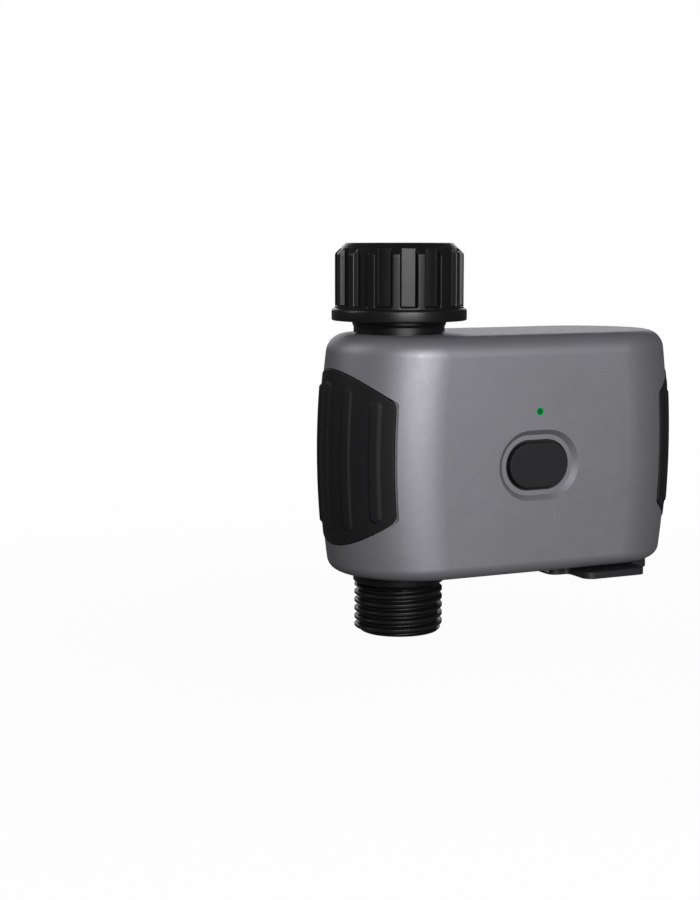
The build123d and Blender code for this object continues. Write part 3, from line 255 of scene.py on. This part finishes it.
def nut_mesh(sizes):
    """Swivel nut: a closed profile turned about Z. Between two ribs the radius is held down to
    R - depth * d(t) * s(z), where R is the ribs' radius, t is the arc from the valley's middle, d
    falls smoothly from 1 on the valley's floor to 0 at its mouth and s rises just above the
    flange. The bore's radius grows by depth * window(z) * w(p), the helical thread, where w is a
    raised cosine whose crest and root are flattened."""
    rib_radius, flange_radius, crown = 19.0, 20.0, 15.8
    foot_hole, bore, relief, bevel = 10.6, 12.06, 12.36, 1.2
    flange_tall, washer_tall, dome_tall = 3.7, 3.0, 3.2
    valley_half, rib_half = 2.08, 0.98
    thread_depth, thread_start, flattening = 1.1, 0.25, 0.16
    flange_top = NUT_FOOT + flange_tall
    washer_top = NUT_FOOT + washer_tall
    corners = [
        (foot_hole, NUT_FOOT, 0.3),
        (flange_radius, NUT_FOOT, 0.5),
        (flange_radius, flange_top, 1.1),
        (rib_radius, flange_top, 0.15),
        (rib_radius, NUT_TOP - dome_tall, 0.5),
        (crown, NUT_TOP, 0.5),
        (bore + bevel, NUT_TOP, 0.25),
        (bore, NUT_TOP - bevel, 0.1),
        (bore, 0.0, 0.0),
        (relief, 0.0, 0.0),
        (relief, washer_top, 0.2),
        (foot_hole, washer_top, 0.2),
    ]
    profile = spaced(softened(corners), 1.4, 0.27, flange_top, NUT_TOP - 0.01)
    r, z = profile.T

    half_pitch = math.pi * rib_radius / sizes.nut_ribs
    arcs = np.array(RIB_SAMPLES) * half_pitch / SAMPLED_HALF_PITCH
    arcs = np.concatenate((-arcs[:0:-1], arcs, [half_pitch]))
    turns = 2 * math.pi * np.arange(sizes.nut_ribs)[:, None] / sizes.nut_ribs
    angles = (turns + arcs[None, :] / rib_radius + math.pi / sizes.nut_ribs).ravel()
    angles = angles + sizes.rib_turn
    arc = np.tile(np.abs(arcs), sizes.nut_ribs)
    valley = 1 - smooth_step(arc, valley_half, half_pitch - rib_half)
    above = smooth_step(z, flange_top + 0.55, flange_top + 0.95)
    limit = rib_radius - sizes.rib_depth / MM * valley[:, None] * above[None, :]
    ribbed = (r > crown - 0.6) & (z > flange_top)
    shift = np.where(ribbed[None, :], np.minimum(0, limit - r[None, :]), 0)

    on_bore = np.abs(r - bore) < 0.02
    run = smooth_step(z, 0.0, 0.8) * (1 - smooth_step(z, NUT_TOP - 1.6, NUT_TOP - bevel))
    place = thread_place(z, angles, sizes.inlet_pitch / MM, thread_start)
    tooth = np.clip(0.5 + (0.5 + flattening) * np.cos(2 * math.pi * place), 0, 1)
    return swept_round(profile, angles, shift + thread_depth * (run * on_bore)[None, :] * tooth)


def spigot_mesh(sizes):
    """Outlet spigot: a closed profile turned about Z. In the thread's run the radius grows from
    the root by depth * window(z) * w(q) and is cut off at the crest and by the lead's bevel. With
    q the distance of p from the nearest crest, 0 to 1/2, w is 1 up to crest_half and falls
    smoothly to 0 where the root begins, so that a rounded crest meets a narrow root."""
    bore, root, crest = 8.0, 11.65, 13.22
    collar, neck, groove, half_groove = 13.6, 11.95, 10.35, 0.9
    thread_start, lead, crest_half, root_begins = 0.45, 1.2, 0.12, 0.45
    steps_round = 240
    collar_foot = HOUSING_FOOT - 3.4
    shoulder = HOUSING_FOOT + 2.2
    ring = (SPIGOT_TOP + shoulder) / 2
    corners = [
        (bore, SPIGOT_FOOT, 0.4),
        (root, SPIGOT_FOOT, 0.3),
        (root, collar_foot, 0.3),
        (collar, collar_foot, 0.45),
        (collar, shoulder, 0.2),
        (neck, shoulder, 0.1),
        (neck, ring - half_groove, 0.1),
        (groove, ring - half_groove, 0.1),
        (groove, ring + half_groove, 0.1),
        (neck, ring + half_groove, 0.1),
        (neck, SPIGOT_TOP, 0.4),
        (bore, SPIGOT_TOP, 0.3),
    ]
    profile = spaced(softened(corners), 1.6, 0.09, SPIGOT_FOOT + 0.01, collar_foot - 0.1)
    angles = np.linspace(0, 2 * math.pi, steps_round, endpoint=False)
    r, z = profile.T
    on_thread = (r > root - 0.15) & (z < collar_foot - 0.05)
    run = np.where(on_thread, 1 - smooth_step(z, collar_foot - 1.3, collar_foot - 0.3), 0)
    place = thread_place(z, angles, sizes.outlet_pitch / MM, thread_start)
    tooth = 1 - smooth_step(np.abs(place - np.round(place)), crest_half, root_begins)
    grown = r[None, :] + sizes.outlet_thread_depth / MM * run[None, :] * tooth
    limit = np.maximum(crest - np.clip(SPIGOT_FOOT + lead - z, 0, None), root)
    grown = np.where(on_thread[None, :], np.minimum(grown, limit[None, :]), grown)
    return swept_round(profile, angles, grown - r[None, :])


def grip_half_height(y):
    """Half height of the grip's outline at Y: a circular bow through the crown and both corners,
    z = crown - R + sqrt(R^2 - y^2), whose side corners are rounded off by a quarter curve."""
    corner_run, corner_fall = 1.5, 1.4
    y = np.abs(y)
    drop = GRIP_CROWN - GRIP_CORNER
    radius = (GRIP_HALF_WIDTH**2 + drop**2) / (2 * drop)
    corner = np.clip((y - GRIP_HALF_WIDTH + corner_run) / corner_run, 0, 1)
    bow = GRIP_CROWN - radius + np.sqrt(radius**2 - y**2)
    return bow - corner_fall * (1 - np.sqrt(1 - corner**2))


def grip_mesh(side, sizes):
    """Side grip, a closed slab. Point (i, j) lies at angle phi about the housing end's centre
    and at a share s of the outline's half height h(y) there: x = X0 +- (r cos(phi) - bow),
    y = r sin(phi), z = s h(y) - drop, where the bow grows with z^2. The outer r is the end's
    radius plus the grip's stand, which has a rounded edge and five raised rails with round ends;
    the inner r lies in the recess."""
    proud, recess, round_edge, outline_slope = 0.3, -1.15, 0.45, 0.86
    rim_share, rim_rows, rim_bias, face_rows = 0.045, 9, 1.6, 84
    flank_begins, flank_ends = -0.05, 0.75
    edge = math.asin(GRIP_HALF_WIDTH / (END_RADIUS + proud))
    near_rim = np.linspace(0, 1, rim_rows) ** rim_bias * rim_share
    half = np.concatenate((near_rim, np.linspace(rim_share, 1, face_rows)[1:]))
    spread = np.concatenate((half - 1, 1 - half[-2::-1]))
    phi, share = np.meshgrid(spread * edge, spread, indexing="ij")
    tall = grip_half_height((END_RADIUS + proud) * np.sin(phi))
    z = share * tall
    arc = END_RADIUS * phi

    to_side = END_RADIUS * (edge - np.abs(phi))
    to_rim = np.minimum(to_side, (tall - np.abs(z)) * outline_slope)
    inset = np.clip(to_rim / round_edge, 0, 1)
    stand = proud - round_edge * (1 - np.sqrt(1 - (1 - inset) ** 2))
    for place, rail_length in zip((-2, -1, 0, 1, 2), RAIL_LENGTHS):
        along = np.clip(np.abs(z) - (rail_length - 2 * RAIL_HALF_WIDTH) / 2, 0, None)
        inside = RAIL_HALF_WIDTH - np.hypot(arc - place * RAIL_PITCH, along)
        rail = smooth_step(inside, flank_begins, flank_ends)
        stand = stand + sizes.rail_raise / MM * rail

    z = z - GRIP_DROP
    bow = END_BOW * (z / (HOUSING_TALL / 2 + stand)) ** 2
    faces = []
    for grown in (stand, np.full_like(stand, recess)):
        r = END_RADIUS + grown
        x = END_X[side] + side * (r * np.cos(phi) - bow)
        faces.append(np.stack((x, r * np.sin(phi), z + HOUSING_MID_Z), axis=-1))
    front, back = faces
    middle = (front + back) / 2
    first = np.concatenate((middle[:1], middle[:1, ::-1]), axis=1)
    last = np.concatenate((middle[-1:], middle[-1:, ::-1]), axis=1)
    rings = np.concatenate((first, np.concatenate((front, back[:, ::-1]), axis=1), last))
    rows, columns = rings.shape[:2]
    return rings.reshape(-1, 3), quads_of(rows, columns, wrap_rows=False)


# Finishes

# Values between which a noise texture mostly lies
NOISE_RANGE = (0.3, 0.7)


def linear(hex_colour):
    """sRGB hex value as linear red, green, blue and alpha."""
    value = [int(hex_colour[k : k + 2], 16) / 255 for k in (1, 3, 5)]
    return (*(v / 12.92 if v <= 0.04045 else ((v + 0.055) / 1.055) ** 2.4 for v in value), 1.0)


def add_node(tree, kind, values=None, links=None, **settings):
    """Adds a node with its properties, its sockets' values and the sockets that feed it."""
    node = tree.nodes.new(kind)
    for key, value in settings.items():
        setattr(node, key, value)
    for key, value in (values or {}).items():
        node.inputs[key].default_value = value
    for key, socket in (links or {}).items():
        tree.links.new(socket, node.inputs[key])
    return node


def new_material(name, **sockets):
    """Material with a principled shader whose sockets hold the given values. Gives the material,
    its tree, its shader and its object coordinates in metres."""
    material = bpy.data.materials.new(name)
    material.use_nodes = True
    tree = material.node_tree
    shader = tree.nodes["Principled BSDF"]
    for key, value in sockets.items():
        shader.inputs[key.replace("_", " ")].default_value = value
    return material, tree, shader, add_node(tree, "ShaderNodeTexCoord").outputs["Object"]


def per(spacing):
    """Scale of a texture whose features lie a spacing, in millimetres, apart."""
    return 1 / (spacing * MM)


def dress(tree, shader, shade, gloss, relief):
    """Feeds a shader its finish: the shade to its base colour, gloss to its roughness and relief
    to its normal. Gloss is a value, the two limits it runs between and the two roughnesses it
    gives there, or None; relief is a height from 0 to 1, its depth in millimetres and strength."""
    tree.links.new(shade, shader.inputs["Base Color"])
    if gloss:
        value, low, high, smooth, rough = gloss
        spread = add_node(
            tree,
            "ShaderNodeMapRange",
            {"From Min": low, "From Max": high, "To Min": smooth, "To Max": rough},
            {"Value": value},
        )
        tree.links.new(spread.outputs["Result"], shader.inputs["Roughness"])
    height, depth, strength = relief
    bump = add_node(
        tree, "ShaderNodeBump", {"Strength": strength, "Distance": depth * MM}, {"Height": height}
    )
    tree.links.new(bump.outputs["Normal"], shader.inputs["Normal"])


def moulded_satin_grey(colours):
    """ABS moulded with a fine spark-eroded grain and a metallic grey pigment: a broad satin sheen
    with a faint sparkle. The flakes are 0.35 mm apart, coarser than real ones so that they show."""
    material, tree, shader, place = new_material(
        "moulded_satin_grey", IOR=1.5, Roughness=0.5, Metallic=0.62
    )
    flakes, cloud, gloss, grain = (
        add_node(
            tree,
            "ShaderNodeTexNoise",
            {"Scale": per(spacing), "Detail": detail, "Roughness": 0.6},
            {"Vector": place},
        ).outputs["Fac"]
        for spacing, detail in ((0.35, 2.0), (22.0, 2.0), (3.0, 3.0), (0.3, 2.0))
    )
    share, tint = (
        add_node(
            tree,
            "ShaderNodeMapRange",
            {"From Min": low, "From Max": high, "To Min": to_low, "To Max": to_high},
            {"Value": value},
        ).outputs["Result"]
        for value, low, high, to_low, to_high in (
            (flakes, 0.45, 0.72, 0.0, 1.0),
            (cloud, *NOISE_RANGE, 0.97, 1.03),
        )
    )
    shade = add_node(
        tree,
        "ShaderNodeMix",
        {"A": linear(colours.housing), "B": linear(colours.fleck)},
        {"Factor": share},
        data_type="RGBA",
    )
    shade = add_node(
        tree, "ShaderNodeHueSaturation", links={"Color": shade.outputs["Result"], "Value": tint}
    )
    gloss = (gloss, *NOISE_RANGE, 0.50, 0.54)
    dress(tree, shader, shade.outputs["Color"], gloss, (grain, 0.006, 0.5))
    return material


def two_shades(
    name, low, high, marks, gloss=None, wear=None, grain=None, relief=(0.006, 0.5), **sockets
):
    """Material of two near shades that the marks mix, whose wear spreads the roughness over the
    gloss range and whose grain gives a fine relief. Marks, wear and grain are noises, each its
    spacing in millimetres, detail and roughness; the marks stand in for one that isn't given."""
    material, tree, shader, place = new_material(name, **sockets)
    wear, grain = wear or marks, grain or marks
    noise = {
        kind: add_node(
            tree,
            "ShaderNodeTexNoise",
            {"Scale": per(kind[0]), "Detail": kind[1], "Roughness": kind[2]},
            {"Vector": place},
        ).outputs["Fac"]
        for kind in dict.fromkeys((marks, wear, grain))
    }
    shade = add_node(
        tree,
        "ShaderNodeMix",
        {"A": linear(low), "B": linear(high)},
        {"Factor": noise[marks]},
        data_type="RGBA",
    )
    gloss = gloss and (noise[wear], *NOISE_RANGE, *gloss)
    dress(tree, shader, shade.outputs["Result"], gloss, (noise[grain], *relief))
    return material


def soft_grip_elastomer(colours):
    """Thermoplastic elastomer moulded over the shell: black, dull, with a fine even grain."""
    return two_shades(
        "soft_grip_elastomer",
        colours.grip,
        "#18181a",
        (0.4, 4.0, 0.6),
        gloss=(0.50, 0.62),
        wear=(5.0, 3.0, 0.6),
        relief=(0.012, 0.6),
        IOR=1.48,
        Roughness=0.55,
        Specular_IOR_Level=0.16,
    )


def glass_filled_nylon(colours):
    """Glass-filled nylon, injection moulded: near black, satin, with faint cloudy fibre marks."""
    return two_shades(
        "glass_filled_nylon",
        colours.nylon,
        "#101011",
        (1.6, 5.0, 0.7),
        gloss=(0.32, 0.4),
        grain=(0.35, 3.0, 0.6),
        relief=(0.008, 0.5),
        IOR=1.53,
        Roughness=0.36,
        Specular_IOR_Level=0.24,
    )


def moulded_silicone(colours):
    """Silicone keycap: black with a very soft matt surface."""
    return two_shades(
        "moulded_silicone",
        colours.button,
        "#1f1f21",
        (0.5, 4.0, 0.6),
        IOR=1.43,
        Roughness=0.62,
        Specular_IOR_Level=0.2,
    )


def green_lens(colours):
    """Acrylic light pipe, green: dark green in the middle and a painted highlight of brighter green
    towards its polished edge, by the distance from its axis, which runs along Y."""
    material, tree, shader, place = new_material("green_lens", IOR=1.49, Roughness=0.15)
    axis = Vector((HOUSING_MID_X, 0.0, LIGHT_MID_Z)) * MM
    way = add_node(tree, "ShaderNodeVectorMath", {1: axis}, {0: place}, operation="SUBTRACT")
    way = add_node(
        tree, "ShaderNodeVectorMath", {1: (1, 0, 1)}, {0: way.outputs[0]}, operation="MULTIPLY"
    )
    away = add_node(tree, "ShaderNodeVectorMath", links={0: way.outputs[0]}, operation="LENGTH")
    # Painted highlight: the base colour turns brighter green towards the lens's edge
    painted_rim_highlight = add_node(
        tree,
        "ShaderNodeMapRange",
        {"From Min": 0.6 * MM, "From Max": 1.2 * MM, "To Min": 0.0, "To Max": 1.0},
        {"Value": away.outputs["Value"]},
    )
    shade = add_node(
        tree,
        "ShaderNodeMix",
        {"A": linear("#0b4a26"), "B": linear(colours.light)},
        {"Factor": painted_rim_highlight.outputs["Result"]},
        data_type="RGBA",
    )
    tree.links.new(shade.outputs["Result"], shader.inputs["Base Color"])
    return material


def plain_moulding(name, low, high, roughness, spacing):
    """Moulded or cast part of two near shades, whose grain has a spacing in millimetres."""
    gloss = (roughness - 0.06, roughness + 0.06)
    return two_shades(name, low, high, (spacing, 4.0, 0.6), gloss, Roughness=roughness)


def turned_metal(name, low, high, roughness, groove):
    """Turned or drawn metal: fine tool lines across Z, 2 pi times the groove in millimetres
    apart, give a brushed sheen."""
    radians_per_scale = 20
    material, tree, shader, place = new_material(name, Metallic=1.0, Roughness=roughness)
    lines = add_node(
        tree,
        "ShaderNodeTexWave",
        {"Scale": per(groove) / radians_per_scale, "Distortion": 1.5, "Detail": 2.0},
        {"Vector": place},
        bands_direction="Z",
    ).outputs["Fac"]
    shade = add_node(
        tree,
        "ShaderNodeMix",
        {"A": linear(low), "B": linear(high)},
        {"Factor": lines},
        data_type="RGBA",
    )
    gloss = (lines, 0.0, 1.0, roughness - 0.05, roughness + 0.07)
    dress(tree, shader, shade.outputs["Result"], gloss, (lines, 0.004, 0.4))
    return material


def finishes(colours):
    """Every finish by the record's material slot."""
    return {
        "housing": moulded_satin_grey(colours),
        "grip": soft_grip_elastomer(colours),
        "black_plastic": glass_filled_nylon(colours),
        "tray_plastic": plain_moulding("black_abs", "#18191a", "#212223", 0.36, 0.8),
        "button": moulded_silicone(colours),
        "seal": plain_moulding("nitrile_rubber", "#222222", "#2c2c2c", 0.7, 0.4),
        "white_plastic": plain_moulding("ptfe", "#d9d8d3", "#e6e5e1", 0.42, 0.9),
        "inner_plastic": plain_moulding("grey_polypropylene", "#8f9092", "#9a9b9d", 0.5, 0.8),
        "gear": plain_moulding("natural_acetal", "#d8d3c4", "#e2decf", 0.38, 0.7),
        "ball": turned_metal("plated_ball", "#c9cacb", "#dddedf", 0.12, 0.4),
        "brass": turned_metal("turned_brass", colours.brass, "#c69c56", 0.26, 0.3),
        "can": turned_metal("drawn_steel", "#a9aaab", "#bcbdbe", 0.32, 0.5),
        "screw": turned_metal("stainless_steel", "#9fa0a1", "#b4b5b6", 0.28, 0.25),
        "contact": turned_metal("nickel_strip", "#b9b8b2", "#cbcac5", 0.24, 0.4),
        "board": plain_moulding("solder_mask", colours.board, "#226741", 0.4, 1.5),
        "light": green_lens(colours),
        "cell": plain_moulding("shrink_sleeve", "#3a3b3f", "#45464a", 0.25, 2.0),
    }


# Stage


def white_share(tree, mirrored):
    """How much of the white surroundings a ray sees: all for camera and transmission rays, a
    share for glossy ones and none for those that only carry light. Gives the ray's kinds too."""
    ray = add_node(tree, "ShaderNodeLightPath").outputs
    seen = add_node(
        tree, "ShaderNodeMath", {1: mirrored}, {0: ray["Is Glossy Ray"]}, operation="MULTIPLY"
    )
    for kind in ("Is Camera Ray", "Is Transmission Ray"):
        seen = add_node(
            tree, "ShaderNodeMath", links={0: ray[kind], 1: seen.outputs[0]}, operation="MAXIMUM"
        )
    return ray, seen.outputs[0]


def make_floor():
    """Pale floor below the hanging valve. The camera sees it white but for a faint shadow, which
    fades out between 0.25 and 0.9 m from the origin; to glossy surfaces it is mostly dark, and it
    throws little light back up at the object."""
    spread = 4.0 / MM
    corners = ((-1, -1), (1, -1), (1, 1), (-1, 1))
    points = np.array([(x * spread, y * spread, FLOOR_Z) for x, y in corners])
    floor = make_piece("pale_floor", points, np.array([[0, 1, 2, 3]]), closed=False)
    material, tree, shader, place = new_material("pale_floor_paint", Roughness=0.9)
    ray, seen = white_share(tree, 0.1)
    paint = add_node(
        tree,
        "ShaderNodeMix",
        {"A": linear("#242424"), "B": linear("#f4f4f4")},
        {"Factor": ray["Is Camera Ray"]},
        data_type="RGBA",
    )
    tree.links.new(paint.outputs["Result"], shader.inputs["Base Color"])
    away = add_node(tree, "ShaderNodeVectorMath", links={0: place}, operation="LENGTH")
    whiter = add_node(
        tree,
        "ShaderNodeMapRange",
        {"From Min": 0.25, "From Max": 0.9, "To Min": 0.95, "To Max": 1.0},
        {"Value": away.outputs["Value"]},
    )
    share = add_node(
        tree, "ShaderNodeMath", links={0: seen, 1: whiter.outputs["Result"]}, operation="MULTIPLY"
    )
    white = add_node(tree, "ShaderNodeEmission", {"Color": (1, 1, 1, 1), "Strength": 1.0})
    blend = add_node(
        tree,
        "ShaderNodeMixShader",
        links={0: share.outputs[0], 1: shader.outputs[0], 2: white.outputs[0]},
    )
    tree.links.new(blend.outputs[0], tree.nodes["Material Output"].inputs["Surface"])
    floor.data.materials.append(material)


def make_world(context):
    """Even sky that throws a little light, and is white where the camera and clear surfaces look
    at it."""
    world = bpy.data.worlds.new("studio")
    world.use_nodes = True
    tree = world.node_tree
    dim = tree.nodes["Background"]
    dim.inputs["Color"].default_value = (1, 1, 1, 1)
    dim.inputs["Strength"].default_value = 0.05
    bright = add_node(tree, "ShaderNodeBackground", {"Color": (1, 1, 1, 1), "Strength": 1.0})
    seen = white_share(tree, 0.05)[1]
    blend = add_node(
        tree, "ShaderNodeMixShader", links={0: seen, 1: dim.outputs[0], 2: bright.outputs[0]}
    )
    tree.links.new(blend.outputs[0], tree.nodes["World Output"].inputs["Surface"])
    context.scene.world = world


def aim(thing, position, way):
    """Stands a lamp or the camera at a position in millimetres, its -Z turned along a way."""
    thing.location = Vector(position) * MM
    thing.rotation_euler = way.to_track_quat("-Z", "Y").to_euler()


def make_lamps(context):
    """Soft boxes, each with its place in millimetres, width and height in metres and power in
    watts: the key in front, slightly left and above; a narrow one high at the left and behind,
    for the end's rounding; and a wide low one behind, for the roof's sheen."""
    boxes = (
        ("front_soft_box", (-110.0, -740.0, 150.0), 0.50, 0.26, 8.0),
        ("left_soft_box", (-600.0, 260.0, 330.0), 0.12, 0.40, 1.5),
        ("back_soft_box", (250.0, 650.0, 160.0), 0.70, 0.20, 1.15),
    )
    for name, position, width, height, power in boxes:
        data = bpy.data.lights.new(name, "AREA")
        data.shape = "RECTANGLE"
        data.size = width
        data.size_y = height
        data.energy = power
        lamp = bpy.data.objects.new(name, data)
        context.scene.collection.objects.link(lamp)
        aim(lamp, position, Vector(OBJECT_MIDDLE) - Vector(position))


def make_camera(context):
    """Camera at the photograph's place, turned from +Y towards +X and pitched down."""
    data = bpy.data.cameras.new("photo_camera")
    data.sensor_width = 36.0
    data.lens = CAMERA_LENS
    data.clip_start = 0.01
    data.clip_end = 20.0
    camera = bpy.data.objects.new("photo_camera", data)
    context.scene.collection.objects.link(camera)
    level = math.cos(CAMERA_PITCH)
    way = (math.sin(CAMERA_TURN) * level, math.cos(CAMERA_TURN) * level, -math.sin(CAMERA_PITCH))
    aim(camera, CAMERA_PLACE, Vector(way))
    context.scene.camera = camera
    context.scene.view_settings.view_transform = "Standard"


# Operators


def stand_in(piece, body, slot, *nodes):
    """Puts a piece in the stead of CAD nodes, on their body and in their finish."""
    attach(piece, body)
    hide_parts(*nodes)
    piece.data.materials.clear()
    piece.data.materials.append(bpy.data.materials[bpy.context.scene.valve_finishes[slot].name_of])


class VALVE_PG_finish(PropertyGroup):
    """Material made for one of the record's slots."""

    name_of: StringProperty(name="Material", description="Material that gives this slot its finish")


class VALVE_OT_finishes(Operator):
    """Makes every finish and gives it to the CAD nodes of its slot"""

    bl_idname = "valve.finishes"
    bl_label = "Finishes"

    def execute(self, context):
        made = finishes(context.scene.valve_colours)
        for slot, material in made.items():
            entry = context.scene.valve_finishes.add()
            entry.name = slot
            entry.name_of = material.name
        for part in frame["record"]["subparts"]:
            node = frame["nodes"][part["node"]]
            node.data.materials.clear()
            node.data.materials.append(made[part["material_slot"]])
        return {"FINISHED"}


class VALVE_OT_swivel_nut(Operator):
    """Ribbed hand nut with its inlet thread"""

    bl_idname = "valve.swivel_nut"
    bl_label = "Swivel nut"

    def execute(self, context):
        points, quads = nut_mesh(context.scene.valve_sizes)
        nut = make_piece("ribbed_swivel_nut", points, quads, sharp=38.0)
        stand_in(nut, "nut", "black_plastic", "swivel_nut")
        return {"FINISHED"}


class VALVE_OT_outlet(Operator):
    """Outlet spigot with its male hose thread"""

    bl_idname = "valve.outlet"
    bl_label = "Outlet thread"

    def execute(self, context):
        points, quads = spigot_mesh(context.scene.valve_sizes)
        spigot = make_piece("threaded_outlet_spigot", points, quads, sharp=50.0)
        stand_in(spigot, "housing", "black_plastic", "outlet_spigot")
        return {"FINISHED"}


class VALVE_OT_grips(Operator):
    """Left and right side grips with their rails"""

    bl_idname = "valve.grips"
    bl_label = "Side grips"

    def execute(self, context):
        for side, node in ((-1, "left_grip"), (1, "right_grip")):
            points, quads = grip_mesh(side, context.scene.valve_sizes)
            grip = make_piece(f"railed_{node}", points, quads, sharp=50.0)
            stand_in(grip, "housing", "grip", node)
        return {"FINISHED"}


class VALVE_OT_stage(Operator):
    """Pale floor, soft lamps and the camera"""

    bl_idname = "valve.stage"
    bl_label = "Stage"

    def execute(self, context):
        make_floor()
        make_world(context)
        make_lamps(context)
        make_camera(context)
        return {"FINISHED"}


class VALVE_PT_panel(Panel):
    """Lists the pieces and their sizes"""

    bl_idname = "VALVE_PT_panel"
    bl_label = "Water valve"
    bl_space_type = "VIEW_3D"
    bl_region_type = "UI"
    bl_category = "Water valve"

    def draw(self, context):
        layout = self.layout
        for step in STEPS:
            layout.operator(step.bl_idname)
        for group in (context.scene.valve_sizes, context.scene.valve_colours):
            for key in group.__annotations__:
                layout.prop(group, key)


STEPS = (
    VALVE_OT_finishes,
    VALVE_OT_swivel_nut,
    VALVE_OT_outlet,
    VALVE_OT_grips,
    VALVE_OT_stage,
)
CLASSES = (VALVE_PG_sizes, VALVE_PG_colours, VALVE_PG_finish, *STEPS, VALVE_PT_panel)


def register():
    """Registers the classes and hangs the property groups on the scene."""
    for cls in CLASSES:
        bpy.utils.register_class(cls)
    bpy.types.Scene.valve_sizes = PointerProperty(type=VALVE_PG_sizes)
    bpy.types.Scene.valve_colours = PointerProperty(type=VALVE_PG_colours)
    bpy.types.Scene.valve_finishes = CollectionProperty(type=VALVE_PG_finish)


def unregister():
    """Takes the property groups and classes away again."""
    del bpy.types.Scene.valve_finishes
    del bpy.types.Scene.valve_colours
    del bpy.types.Scene.valve_sizes
    for cls in reversed(CLASSES):
        bpy.utils.unregister_class(cls)


def main():
    register()
    bpy.ops.valve.finishes()
    bpy.ops.valve.swivel_nut()
    bpy.ops.valve.outlet()
    bpy.ops.valve.grips()
    bpy.ops.valve.stage()


if __name__ == "__main__":
    main()
